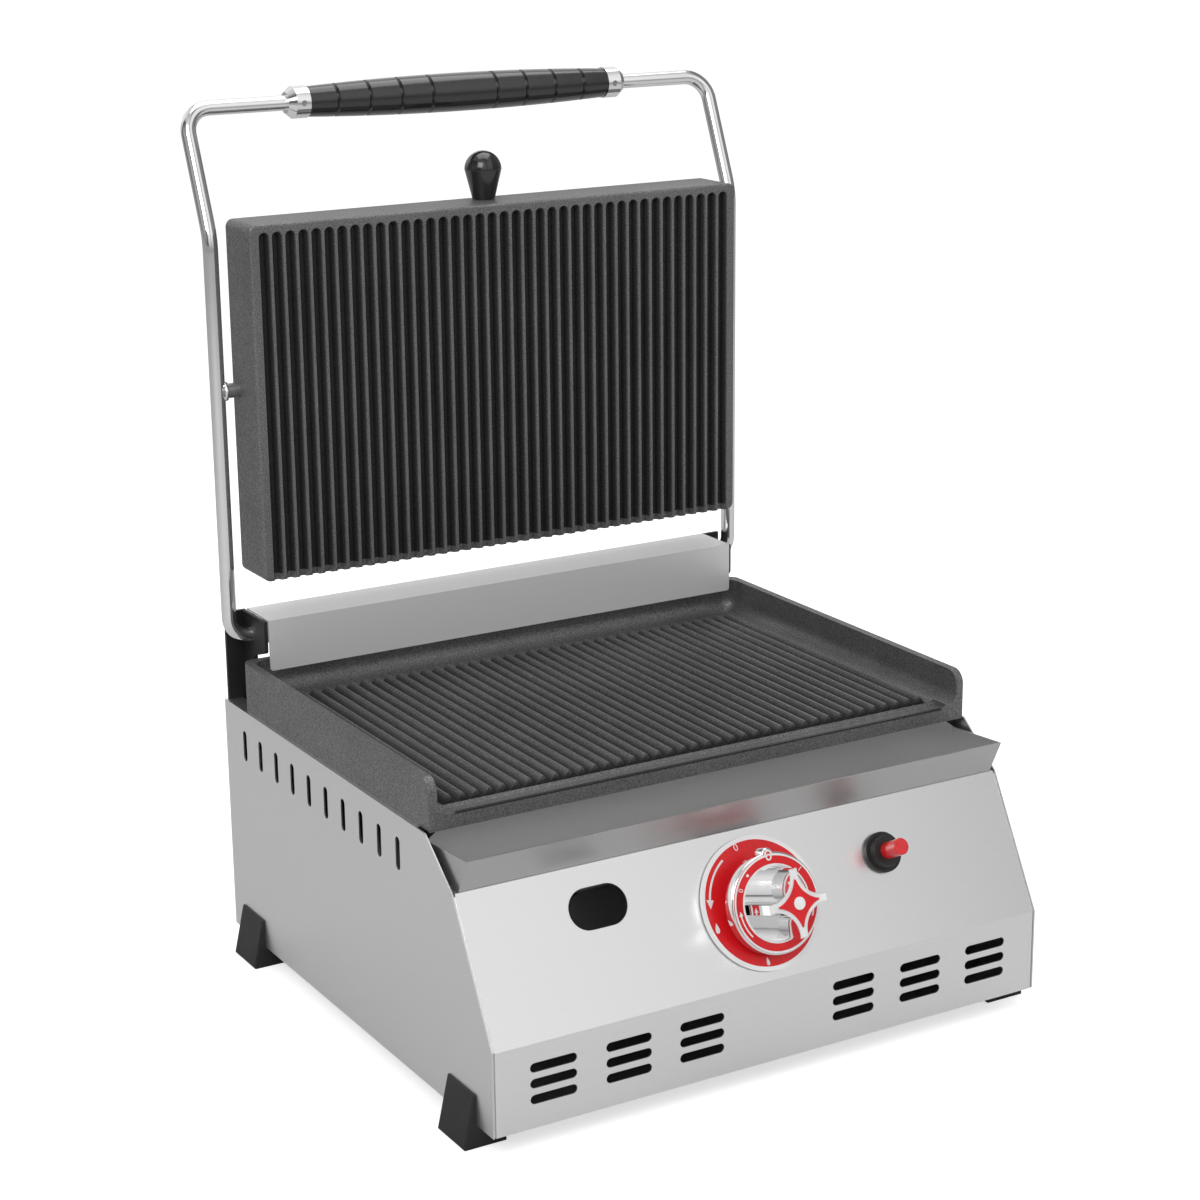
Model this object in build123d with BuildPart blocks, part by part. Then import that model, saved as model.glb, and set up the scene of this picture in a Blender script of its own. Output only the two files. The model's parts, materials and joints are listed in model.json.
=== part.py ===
from build123d import *
import os
from math import atan2, cos, degrees, hypot, radians, sin, sqrt

# Gas sandwich toaster with the lid open, in millimetres.
# +X is to the right, the control panel faces -Y, +Z is up and z = 0 is the table.

os.makedirs("parts", exist_ok=True)

# Body, made of folded stainless sheet
body_width = 400.0
body_depth = 377.0
sheet = 1.0
sheet_gap = 1.0
side_flange = 12.0
front_return = 15.0

# Front panel: louvred strip, then a face that leans back up to the tray
strip_height = 54.0
slope_run = 45.0
slope_rise = 83.2
shoulder_run = 33.4
shelf_depth = 46.0

# Louvres and vents
louvre_length = 31.5
louvre_height = 6.0
louvre_rise = 10.15
louvre_rows = 3
louvre_groups = 3
louvre_group_pitch = 51.6
louvre_edge = 25.0
louvre_below_bend = 15.4
vent_width = 5.8
vent_height = 21.3
vent_count = 10
vent_first = 114.9
vent_rear_inset = 32.1
vent_below_top = 24.9
window_width = 40.0
window_height = 25.6
window_x = -109.0
window_up = 20.9
base_slot_length = 60.0
base_slot_width = 8.0
base_slot_pitch = 22.0
rear_slot_length = 44.0
rear_slot_pitch = 60.0

# Feet
foot_lift = 14.5
foot_length = 34.0
foot_front = 20.5
foot_rear_inset = 17.0
foot_overlap = 19.5
foot_screw_sink = 8.0
foot_splay = 9.3
foot_top_out = 1.6
foot_wrap = 19.5
foot_round = 1.2
foot_screw_radius = 2.0
foot_screw_head = 4.0
foot_screw_head_height = 2.4

# Lower plate, cast iron
lower_side_gap = 3.0
lower_front = 77.0
lower_rear_gap = 4.0
lower_floor = 8.7
rim_height = 32.7
rim_wall = 5.5
rim_cove = 10.0
rim_front_round = 9.0
rim_rear_round = 8.0
rim_edge_round = 1.6
lip_width = 3.5
lip_rise = 0.8
gutter_width = 14.0
gutter_depth = 2.2
rib_pitch = 9.2
rib_height = 5.0
rib_tip = 1.2
rib_foot_gap = 1.4
rib_back_margin = 24.0
rib_end_slope = 2.5

# Upper plate, cast iron, hollow behind its grooved face
plate_inset = 15.0
upper_height = 236.0
upper_depth = 38.0
upper_wall = 6.0
upper_face = 11.0
upper_corner_round = 5.0
upper_edge_round = 2.0
groove_margin = 5.0
groove_width = 7.4
groove_depth = 4.4
groove_floor = 2.4
groove_side_margin = 10.0
stiffener = 6.0
pin_boss_radius = 8.0
pin_boss_length = 22.0

# Lid: hinge, bent rod and pivot pins
hinge_inset = 14.0
closed_gap = 3.5
face_offset = 30.0
pin_rise = 167.5
pin_above_edge = 125.0
pin_radius = 4.9
pin_clearance = 0.08
rod_radius = 5.0
rod_gap = 9.5
rod_tail = 62.0
kink_rise = 268.5
bar_rise = 347.5
bar_lean = 33.0
hinge_bend = 13.5
kink_bend = 45.0
corner_bend = 17.0

# Grip and its collars
grip_half = 113.6
grip_end_radius = 10.0
grip_mid_radius = 13.0
grip_clearance = 0.08
grip_first_groove = 24.6
grip_groove_pitch = 23.1
grip_groove_count = 4
grip_groove_half = 1.3
collar_length = 10.0
collar_cone = 4.5
collar_radius = 10.6
collar_nose_radius = 7.0
collar_gap = 0.3
collar_fit = 0.02
set_screw_radius = 2.0
set_screw_sink = 0.8

# Pear knob on the upper plate
pear_radius = 12.6
pear_base_radius = 7.6
pear_taper = 20.0
pear_back = 9.0
pear_stud_radius = 4.0
pear_stud_length = 24.0

# Hinge brackets, bushes, springs, collars and cover
bracket_sheet = 2.5
bracket_bend_gap = 0.5
bracket_slant = 6.0
bracket_top_gap = 14.3
bracket_nose = 25.5
bracket_nose_depth = 21.8
bracket_neck = 7.0
bracket_leg = 52.0
bracket_wing_gap = 2.0
bracket_cover_gap = 0.8
bracket_fixing = 18.0
bracket_round = 3.0
bush_wall = 2.0
bush_clearance = 0.06
bush_fit = 0.03
bush_flange = 1.5
bush_flange_radius = 10.0
lid_spring_length = 27.0
lid_spring_wire = 1.5
lid_spring_pitch = 3.5
lid_spring_gap = 0.6
hinge_collar_length = 9.0
hinge_collar_radius = 9.5
cover_sheet = 1.2
cover_height = 35.0
cover_depth = 36.5
cover_side_gap = 0.2
cover_tab = 11.0
cover_tab_drop = 14.0
cover_corner_round = 2.0

# Grease tray
tray_sheet = 0.8
tray_side_gap = 4.5
tray_gap = 0.3
tray_depth = 40.0
tray_lean = 10.8
tray_front_height = 22.5
tray_end_rear_height = 19.0
tray_rear_height = 26.0
tray_top_gap = 0.8
tray_clip = 9.0

# Dial and control knob, heights measured out from the control face
dial_radius = 42.0
dial_thickness = 1.5
dial_seat_radius = 30.0
dial_seat = 1.0
dial_bore = 14.5
knob_droop = 9.0
knob_radius = 31.3
knob_back = 11.5
knob_thickness = 8.0
knob_bowl_radius = 22.5
knob_bowl_depth = 6.0
knob_edge_round = 1.2
knob_hub_radius = 11.0
knob_hub_back = 9.0
pointer_radius = 4.2
pointer_out = 30.0
star_radius = 21.0
star_tip = 6.0
star_waist = 10.4
star_height = 25.0
inlay_inset = 6.5
inlay_tip = 0.8
inlay_margin = 2.6
inlay_thickness = 0.8
ring_inner_gap = 0.6
ring_thickness = 0.6
dot_radius = 3.9
dot_rise = 0.6
knob_travel = 4.0

# Gas valve behind the control face
stem_radius = 4.0
stem_length = 52.0
stem_fit = 0.02
nose_radius = 7.9
nose_out = 4.2
nose_clearance = 0.3
nose_hole_clearance = 1.0
valve_radius = 12.0
valve_setback = 3.4
valve_length = 46.0
valve_bore = 6.1
valve_bore_depth = 38.0
riser_nut_radius = 7.5
riser_nut_height = 8.0
plunger_radius = 6.0
plunger_length = 14.0
plunger_depth = 12.0
valve_spring_wall = 1.2

# Igniter
igniter_x = 96.5
igniter_up = 12.4
igniter_barrel_radius = 8.0
igniter_barrel_length = 38.0
igniter_hole_clearance = 0.3
bezel_radius = 13.0
bezel_step = 3.0
bezel_nose_radius = 9.5
bezel_height = 8.0
button_radius = 5.4
button_clearance = 0.1
button_length = 16.0
button_tail = 14.0
button_travel = 6.0
button_round = 0.8
igniter_bore_depth = 32.0
igniter_spring_wall = 1.0
igniter_nut_radius = 12.0
igniter_nut_thickness = 4.0

# Burners and gas pipes
burner_x = 100.0
burner_radius = 14.0
burner_wall = 1.2
burner_front = 77.0
burner_rear_gap = 52.0
burner_cone_length = 10.0
burner_throat_radius = 8.0
burner_throat_length = 16.0
burner_mouth_radius = 15.0
burner_mouth_length = 12.0
burner_port_width = 1.6
burner_port_length = 12.0
burner_port_pitch = 10.0
burner_pin_radius = 3.0
burner_pin_length = 10.0
support_back = 101.0
support_height = 134.0
support_rear_gap = 3.0
support_flange = 10.0
support_clearance = 0.3
rail_up = 33.3
rail_in = 30.2
rail_radius = 5.0
rail_overhang = 12.0
riser_radius = 4.0
injector_radius = 5.0
injector_length = 12.0
injector_nose = 5.0
injector_bore = 0.6
pipe_radius = 4.0
pipe_x = -150.0
pipe_z = 60.0
pipe_depth = 36.0
pipe_bend = 18.0
pipe_drop_back = 88.0
inlet_flange_radius = 12.0
inlet_flange = 4.0
inlet_length = 26.0
inlet_radius = 6.5
inlet_chamfer = 1.0
inlet_bore_radius = 2.6
shield_z = 98.0
shield_upstand = 12.0
electrode_x = 75.0
electrode_z = 136.0
electrode_radius = 3.0
electrode_length = 24.0
electrode_wire = 1.0
thermocouple_radius = 2.5
lead_radius = 1.5
capillary_radius = 1.0
lead_straight = 12.0
lead_turn_back = 84.0
lead_sideways = 10.0
lead_bend = 4.0
capillary_drop = 30.0

# Rear screws and bracket bolts
screw_radius = 2.0
screw_head_radius = 3.8
screw_head_height = 2.2
rear_screw_rows = 3
bolt_radius = 2.5
bolt_head_radius = 5.0
bolt_head_height = 3.0
bolt_spacing = 28.0
hole_clearance = 0.2

# The body's box, centred over the origin: the knob's star reaches furthest forward
# and the grip furthest back
half_width = body_width / 2
upper_width = body_width - 2 * plate_inset
shoulder_rise = tray_gap + tray_rear_height + tray_top_gap
body_height = strip_height + slope_rise + shoulder_rise
vent_pitch = (body_depth - vent_rear_inset - vent_first) / (vent_count - 1)
foot_rear = body_depth - foot_rear_inset - foot_length
burner_length = body_depth - burner_rear_gap - burner_front
slope_length = hypot(slope_run, slope_rise)
slope_cos = slope_rise / slope_length
slope_sin = slope_run / slope_length
knob_front = knob_back + knob_thickness
knob_reach = knob_front + star_height
hinge_back = body_depth - hinge_inset
lower_depth = hinge_back - bracket_neck - lower_rear_gap - lower_front
knob_lean = radians(degrees(atan2(slope_run, slope_rise)) - knob_droop)
front_reach = slope_run / 2 - knob_reach * cos(knob_lean) - star_radius * sin(knob_lean)
rear_reach = hinge_back + bar_lean + grip_mid_radius
front_y = -(front_reach + rear_reach) / 2


def back(distance):
    """The y of a place this far behind the louvred strip."""
    return front_y + distance


panel_bottom = foot_lift
bend_z = panel_bottom + strip_height
slope_top = bend_z + slope_rise
body_top = panel_bottom + body_height
shoulder_back = slope_run + shoulder_run
inner_half = half_width - sheet
panel_half = inner_half - sheet_gap
mid_y = back(slope_run / 2)
mid_z = bend_z + slope_rise / 2
control = Plane(origin=(0, mid_y, mid_z), x_dir=(1, 0, 0), z_dir=(0, -slope_rise, slope_run))

# The valve hangs on its riser behind the panel, so the knob droops from square to the face
knob_plane = Plane(origin=control.origin, x_dir=(1, 0, 0), z_dir=(0, -cos(knob_lean), sin(knob_lean)))
knob_axis = Axis(knob_plane.origin, knob_plane.z_dir)


def control_point(across, up, out):
    """A point given across, up and out from the middle of the leaning control face."""
    return (
        across,
        mid_y + up * slope_sin - out * slope_cos,
        mid_z + up * slope_cos + out * slope_sin,
    )


def valve_point(across, up, out):
    """A point given across, up and out along the axis of the knob and valve."""
    return (
        across,
        mid_y + up * sin(knob_lean) - out * cos(knob_lean),
        mid_z + up * cos(knob_lean) + out * sin(knob_lean),
    )


def finish(part, name):
    """Label a finished piece and write it."""
    part.label = name
    export_step(part, f"parts/{name}.step")


# Lower and upper plate heights, the hinge and the pins
lower_half = half_width - lower_side_gap
lower_top = body_top + lower_floor
rim_top = body_top + rim_height
lower_rear = lower_front + lower_depth
rib_top = lower_top + rib_height
hinge_z = rib_top + closed_gap + face_offset
hinge_y = back(hinge_back)
pin_z = hinge_z + pin_rise
upper_half = upper_width / 2
upper_bottom = pin_z - pin_above_edge
upper_top = upper_bottom + upper_height
upper_front_y = hinge_y - face_offset
upper_back_y = upper_front_y + upper_depth
rib_count = int((upper_width - 2 * groove_side_margin) / rib_pitch) + 1
rib_span = (rib_count - 1) * rib_pitch
rib_places = [i * rib_pitch - rib_span / 2 for i in range(rib_count)]
leg_x = upper_half + rod_gap + rod_radius
bar_y = hinge_y + bar_lean
bar_z = hinge_z + bar_rise

# Side panels
side_outline = [
    (back(0), panel_bottom),
    (back(0), bend_z),
    (back(slope_run), slope_top),
    (back(shoulder_back), body_top),
    (back(body_depth), body_top),
    (back(body_depth), panel_bottom),
]
lean_in = sheet / slope_cos
flange_outline = [
    (back(lean_in), panel_bottom),
    (back(lean_in), bend_z),
    (back(slope_run + lean_in), slope_top),
    (back(shoulder_back + lean_in), body_top),
    (back(body_depth - sheet), body_top),
    (back(body_depth - sheet), panel_bottom),
]
tray_zone_low = slope_top - 2 * sheet
foot_places = [
    (side * (half_width - foot_wrap / 2), back(start + foot_length / 2))
    for side in (-1, 1)
    for start in (foot_front, foot_rear)
]
vent_mid_z = body_top - vent_below_top
for side, hand in ((-1, "left"), (1, "right")):
    skin = Plane.YZ.offset(side * half_width)
    with BuildPart() as side_panel:
        with BuildSketch(skin):
            with BuildLine():
                Polyline(*side_outline, close=True)
            make_face()
        extrude(amount=-side * sheet)
        with BuildSketch(skin):
            with BuildLine():
                Polyline(*flange_outline, close=True)
            make_face()
            offset(amount=-sheet, mode=Mode.SUBTRACT)
            with Locations((back(slope_run), tray_zone_low)):
                Rectangle(
                    2 * (shelf_depth + sheet),
                    2 * (body_top - tray_zone_low),
                    align=(Align.CENTER, Align.MIN),
                    mode=Mode.SUBTRACT,
                )
        extrude(amount=-side * side_flange)
        with BuildSketch(skin):
            for i in range(vent_count):
                with Locations((back(vent_first + i * vent_pitch), vent_mid_z)):
                    SlotOverall(vent_height, vent_width, rotation=90)
        extrude(amount=-side * sheet, mode=Mode.SUBTRACT)
        with BuildSketch(Plane.XY.offset(panel_bottom)):
            with Locations(*foot_places):
                Circle(foot_screw_radius + hole_clearance)
        extrude(amount=sheet, mode=Mode.SUBTRACT)
    finish(side_panel.part, f"side_panel_{hand}")

# Front panel, with a shelf folded back under the grease tray
with BuildPart() as front_panel:
    with BuildSketch(Plane.YZ):
        with BuildLine():
            Polyline(
                (back(front_return), panel_bottom),
                (back(0), panel_bottom),
                (back(0), bend_z),
                (back(slope_run), slope_top),
                (back(slope_run + shelf_depth), slope_top),
            )
            offset(amount=sheet, side=Side.RIGHT)
        make_face()
    extrude(amount=panel_half, both=True)
    with BuildSketch(Plane.XY.offset(panel_bottom)):
        for side in (-1, 1):
            with Locations((side * half_width, back(sheet))):
                Rectangle(2 * (side_flange + sheet_gap), front_return, align=(Align.CENTER, Align.MIN))
    extrude(amount=sheet, mode=Mode.SUBTRACT)
    with BuildSketch(Plane.XZ.offset(-front_y)):
        for side in (-1, 1):
            for group in range(louvre_groups):
                across = half_width - louvre_edge - louvre_length / 2 - group * louvre_group_pitch
                for row in range(louvre_rows):
                    height = bend_z - louvre_below_bend - row * louvre_rise
                    with Locations((side * across, height)):
                        SlotOverall(louvre_length, louvre_height)
    extrude(amount=-2 * sheet, mode=Mode.SUBTRACT)
    with BuildSketch(control):
        with Locations((window_x, window_up)):
            SlotOverall(window_width, window_height)
        Circle(nose_radius + nose_hole_clearance)
        with Locations((igniter_x, igniter_up)):
            Circle(igniter_barrel_radius + igniter_hole_clearance)
    extrude(amount=-2 * sheet, mode=Mode.SUBTRACT)
finish(front_panel.part, "front_panel")

# Base pan, lying on the bottom flanges
pan_bottom = panel_bottom + sheet
pan_front = back(2 * sheet + sheet_gap)
pan_rear = back(body_depth - 2 * sheet - sheet_gap)
with BuildPart() as base_pan:
    with BuildSketch(Plane.XY.offset(pan_bottom)):
        with Locations((0, (pan_front + pan_rear) / 2)):
            Rectangle(2 * panel_half, pan_rear - pan_front)
        for across in (-burner_x, 0, burner_x):
            with Locations((across, (pan_front + pan_rear) / 2)):
                with GridLocations(0, base_slot_pitch, 1, 6):
                    SlotOverall(base_slot_length, base_slot_width, mode=Mode.SUBTRACT)
        with Locations(*foot_places):
            Circle(foot_screw_radius + hole_clearance, mode=Mode.SUBTRACT)
    extrude(amount=sheet)
finish(base_pan.part, "base_pan")

# Rear panel, on the rear flanges
rear_screw_pitch = (body_height - 3 * side_flange) / (rear_screw_rows - 1)
rear_screw_places = [
    (side * (half_width - side_flange / 2 - sheet), panel_bottom + 1.5 * side_flange + i * rear_screw_pitch)
    for side in (-1, 1)
    for i in range(rear_screw_rows)
]
web_outer = leg_x - hinge_bend - bracket_bend_gap
web_inner = web_outer - bracket_sheet
fixing_x = web_inner - bracket_fixing / 2
bolt_mid_z = body_top - bracket_leg / 2
bolt_places = [
    (side * fixing_x, bolt_mid_z + step * bolt_spacing / 2) for side in (-1, 1) for step in (-1, 1)
]
rear_plane = Plane.XZ.offset(-back(body_depth))
with BuildPart() as rear_panel:
    with BuildSketch(rear_plane):
        with Locations((0, panel_bottom + body_height / 2)):
            Rectangle(2 * panel_half, body_height)
            with GridLocations(rear_slot_pitch, 2 * louvre_rise, 4, 2):
                SlotOverall(rear_slot_length, louvre_height, mode=Mode.SUBTRACT)
        with Locations((pipe_x, pipe_z)):
            Circle(pipe_radius + hole_clearance, mode=Mode.SUBTRACT)
        with Locations(*rear_screw_places):
            Circle(screw_radius + hole_clearance, mode=Mode.SUBTRACT)
        with Locations(*bolt_places):
            Circle(bolt_radius + hole_clearance, mode=Mode.SUBTRACT)
    extrude(amount=sheet)
finish(rear_panel.part, "rear_panel")

# Rear panel screws, heads outside, ending in the side flanges
with BuildPart() as rear_panel_screws:
    with BuildSketch(rear_plane):
        with Locations(*rear_screw_places):
            Circle(screw_head_radius)
    extrude(amount=-screw_head_height)
    with BuildSketch(rear_plane):
        with Locations(*rear_screw_places):
            Circle(screw_radius)
    extrude(amount=sheet)
finish(rear_panel_screws.part, "rear_panel_screws")

# Lower plate: a rimmed casting, open at the front, with a gutter and a low lip there
lower_mid_y = back(lower_front + lower_depth / 2)
pocket_half = lower_half - rim_wall
pocket_rear = back(lower_rear - rim_wall)
rib_front = back(lower_front + lip_width + gutter_width)
rib_rear = back(lower_rear - rib_back_margin)
with BuildPart() as lower_plate:
    with BuildSketch(Plane.XY.offset(body_top)):
        with Locations((0, lower_mid_y)):
            Rectangle(2 * lower_half, lower_depth)
    extrude(amount=rim_height)
    fillet(lower_plate.edges().filter_by(Axis.Z).group_by(Axis.Y)[-1], radius=rim_rear_round)
    fillet(
        lower_plate.edges().filter_by(Axis.X).group_by(Axis.Z)[-1].sort_by(Axis.Y)[0],
        radius=rim_front_round,
    )
    with BuildSketch(Plane.XY.offset(lower_top)):
        with Locations((0, back(lower_front) - rim_wall)):
            Rectangle(
                2 * pocket_half,
                pocket_rear - back(lower_front) + rim_wall,
                align=(Align.CENTER, Align.MIN),
            )
    extrude(amount=rim_height, mode=Mode.SUBTRACT)
    pocket_floor = lower_plate.faces().filter_by(Axis.Z).group_by(Axis.Z)[-2].sort_by(SortBy.AREA)[-1]
    pocket_edges = pocket_floor.edges().filter_by(
        lambda edge: edge.center().Y > back(lower_front) + rim_wall
    )
    pocket_corners = (
        lower_plate.edges()
        .filter_by(Axis.Z)
        .filter_by(
            lambda edge: abs(edge.center().X) < pocket_half + sheet and edge.center().Y > pocket_rear - sheet
        )
    )
    fillet(pocket_edges + pocket_corners, radius=rim_cove)
    with BuildSketch(Plane.YZ):
        with BuildLine():
            Polyline(
                (back(lower_front), lower_top - gutter_depth),
                (back(lower_front), lower_top + lip_rise),
                (back(lower_front + lip_width * 0.7), lower_top + lip_rise),
                (back(lower_front + lip_width), lower_top - gutter_depth),
                close=True,
            )
        make_face()
    extrude(amount=pocket_half, both=True)
    with BuildSketch(Plane.YZ):
        with BuildLine():
            Polyline(
                (back(lower_front + lip_width), lower_top - gutter_depth),
                (back(lower_front + lip_width), lower_top + rim_cove),
                (rib_front, lower_top + rim_cove),
                (rib_front, lower_top),
                (rib_front - gutter_depth, lower_top - gutter_depth),
                close=True,
            )
        make_face()
    extrude(amount=pocket_half - rim_cove / 2, both=True, mode=Mode.SUBTRACT)
    with BuildSketch(Plane.XZ.offset(-rib_front)):
        for place in rib_places:
            half_foot = (rib_pitch - rib_foot_gap) / 2
            with BuildLine():
                Polyline(
                    (place - half_foot, lower_top),
                    (place - rib_tip / 2, rib_top),
                    (place + rib_tip / 2, rib_top),
                    (place + half_foot, lower_top),
                    close=True,
                )
            make_face()
    extrude(amount=rib_front - rib_rear)
    with BuildSketch(Plane.YZ):
        with BuildLine():
            Polyline(
                (rib_rear - rib_end_slope, rib_top),
                (rib_rear, rib_top),
                (rib_rear, lower_top),
                close=True,
            )
        make_face()
    extrude(amount=rib_span / 2 + rib_pitch / 2, both=True, mode=Mode.SUBTRACT)
finish(lower_plate.part, "lower_plate")

# Upper plate: a shallow box casting with stiffeners, bosses and a grooved face
pin_reach = upper_half - pin_boss_length
groove_taper = degrees(atan2((groove_width - groove_floor) / 2, groove_depth))
with BuildPart() as upper_plate:
    with BuildSketch(Plane.XZ.offset(-upper_front_y)):
        with Locations((0, upper_bottom + upper_height / 2)):
            Rectangle(upper_width, upper_height)
    extrude(amount=-upper_depth)
    fillet(upper_plate.edges().filter_by(Axis.Y), radius=upper_corner_round)
    fillet(upper_plate.faces().sort_by(Axis.Y)[0].edges(), radius=upper_edge_round)
    with BuildSketch(Plane.XZ.offset(-upper_back_y)):
        with Locations((0, upper_bottom + upper_height / 2)):
            Rectangle(upper_width - 2 * upper_wall, upper_height - 2 * upper_wall)
            Rectangle(stiffener, upper_height, mode=Mode.SUBTRACT)
        with Locations((0, pin_z)):
            Rectangle(upper_width, stiffener, mode=Mode.SUBTRACT)
    extrude(amount=upper_depth - upper_face, mode=Mode.SUBTRACT)
    for side in (-1, 1):
        with BuildSketch(Plane.YZ.offset(side * (upper_half - upper_wall))):
            with Locations((hinge_y, pin_z)):
                Circle(pin_boss_radius)
                Rectangle(face_offset - upper_face, 2 * pin_boss_radius, align=(Align.MAX, Align.CENTER))
        extrude(amount=-side * (pin_boss_length - upper_wall))
        with BuildSketch(Plane.YZ.offset(side * upper_half)):
            with Locations((hinge_y, pin_z)):
                Circle(pin_radius + pin_clearance)
        extrude(amount=-side * pin_boss_length, mode=Mode.SUBTRACT)
    with BuildSketch(Plane.XY.offset(upper_top)):
        with Locations((0, upper_back_y - pear_back)):
            Circle(pear_stud_radius)
    extrude(amount=-upper_wall, mode=Mode.SUBTRACT)
    with BuildSketch(Plane.XZ.offset(-upper_front_y)):
        for place in rib_places:
            with Locations((place, upper_bottom)):
                SlotOverall(2 * (upper_height - groove_margin), groove_width, rotation=90)
    extrude(amount=-groove_depth, taper=groove_taper, mode=Mode.SUBTRACT)
finish(upper_plate.part, "upper_plate")

# Handle frame: one rod, bent in at the hinge, back at the kink and across at the top
tail_x = leg_x - rod_tail
rod_route = [
    (-tail_x, hinge_y, hinge_z),
    (-leg_x, hinge_y, hinge_z),
    (-leg_x, hinge_y, hinge_z + kink_rise),
    (-leg_x, bar_y, bar_z),
    (leg_x, bar_y, bar_z),
    (leg_x, hinge_y, hinge_z + kink_rise),
    (leg_x, hinge_y, hinge_z),
    (tail_x, hinge_y, hinge_z),
]
with BuildPart() as handle_frame:
    with BuildLine() as rod_line:
        FilletPolyline(
            *rod_route,
            radius=[hinge_bend, kink_bend, corner_bend, corner_bend, kink_bend, hinge_bend],
        )
    with BuildSketch(Plane(origin=rod_route[0], z_dir=(-1, 0, 0))):
        Circle(rod_radius)
    sweep(path=rod_line.line)
finish(handle_frame.part, "handle_frame")

# Pivot pins, coped to the rod where they are welded to it
for side, hand in ((-1, "left"), (1, "right")):
    with BuildPart() as pivot_pin:
        with BuildSketch(Plane.YZ.offset(side * leg_x)):
            with Locations((hinge_y, pin_z)):
                Circle(pin_radius)
        extrude(amount=-side * (leg_x - pin_reach - pin_radius / 2))
        with BuildSketch(Plane.XY.offset(pin_z - 2 * pin_radius)):
            with Locations((side * leg_x, hinge_y)):
                Circle(rod_radius)
        extrude(amount=4 * pin_radius, mode=Mode.SUBTRACT)
    finish(pivot_pin.part, f"pivot_pin_{hand}")

# Grip, a barrel with grooves, free to turn on the top bar
bar_axis = Axis((0, bar_y, bar_z), (1, 0, 0))
bar_plane = Plane(origin=(0, bar_y, bar_z), x_dir=(1, 0, 0), z_dir=(0, -1, 0))
with BuildPart() as handle_grip:
    with BuildSketch(bar_plane):
        with BuildLine():
            ThreePointArc((-grip_half, grip_end_radius), (0, grip_mid_radius), (grip_half, grip_end_radius))
            Polyline(
                (grip_half, grip_end_radius),
                (grip_half, rod_radius + grip_clearance),
                (-grip_half, rod_radius + grip_clearance),
                (-grip_half, grip_end_radius),
            )
        make_face()
        for side in (-1, 1):
            for i in range(grip_groove_count):
                place = side * (grip_first_groove + i * grip_groove_pitch)
                crown = (grip_mid_radius - grip_end_radius) * (place / grip_half) ** 2
                with Locations((place, grip_mid_radius - crown)):
                    Rectangle(
                        2 * grip_groove_half / sqrt(2),
                        2 * grip_groove_half / sqrt(2),
                        rotation=45,
                        mode=Mode.SUBTRACT,
                    )
    revolve(axis=bar_axis)
finish(handle_grip.part, "handle_grip")

# Grip collars, each with a set screw that faces the front
collar_start = grip_half + collar_gap
screw_x = collar_start + collar_length / 2
for side, hand in ((-1, "left"), (1, "right")):
    with BuildPart() as grip_collar:
        with BuildSketch(bar_plane):
            with BuildLine():
                Polyline(
                    (side * collar_start, rod_radius + collar_fit),
                    (side * collar_start, collar_radius),
                    (side * (collar_start + collar_length), collar_radius),
                    (side * (collar_start + collar_length + collar_cone), collar_nose_radius),
                    (side * (collar_start + collar_length + collar_cone), rod_radius + collar_fit),
                    close=True,
                )
            make_face()
        revolve(axis=bar_axis)
        with BuildSketch(Plane(origin=(side * screw_x, bar_y - rod_radius, bar_z), z_dir=(0, -1, 0))):
            Circle(set_screw_radius)
        extrude(amount=collar_radius, mode=Mode.SUBTRACT)
    finish(grip_collar.part, f"grip_collar_{hand}")

with BuildPart() as grip_set_screws:
    for side in (-1, 1):
        with BuildSketch(Plane(origin=(side * screw_x, bar_y - rod_radius, bar_z), z_dir=(0, -1, 0))):
            Circle(set_screw_radius - collar_fit)
        extrude(amount=collar_radius - rod_radius - set_screw_sink)
finish(grip_set_screws.part, "grip_set_screws")

# Pear knob and its stud, on top of the upper plate
pear_y = upper_back_y - pear_back
pear_plane = Plane(origin=(0, pear_y, upper_top), x_dir=(1, 0, 0), z_dir=(0, -1, 0))
pear_axis = Axis((0, pear_y, upper_top), (0, 0, 1))
pear_stud_top = pear_stud_length - upper_wall
with BuildPart() as pear_knob:
    with BuildSketch(pear_plane):
        with BuildLine():
            Polyline((0, 0), (pear_base_radius, 0), (pear_radius, pear_taper))
            CenterArc((0, pear_taper), pear_radius, 0, 90)
            Line((0, pear_taper + pear_radius), (0, 0))
        make_face()
    revolve(axis=pear_axis)
    with BuildSketch(Plane.XY.offset(upper_top)):
        with Locations((0, pear_y)):
            Circle(pear_stud_radius)
    extrude(amount=pear_stud_top, mode=Mode.SUBTRACT)
finish(pear_knob.part, "pear_knob")

with BuildPart() as pear_knob_stud:
    with BuildSketch(Plane.XY.offset(upper_top + pear_stud_top)):
        with Locations((0, pear_y)):
            Circle(pear_stud_radius - collar_fit)
    extrude(amount=-pear_stud_length)
finish(pear_knob_stud.part, "pear_knob_stud")

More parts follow.
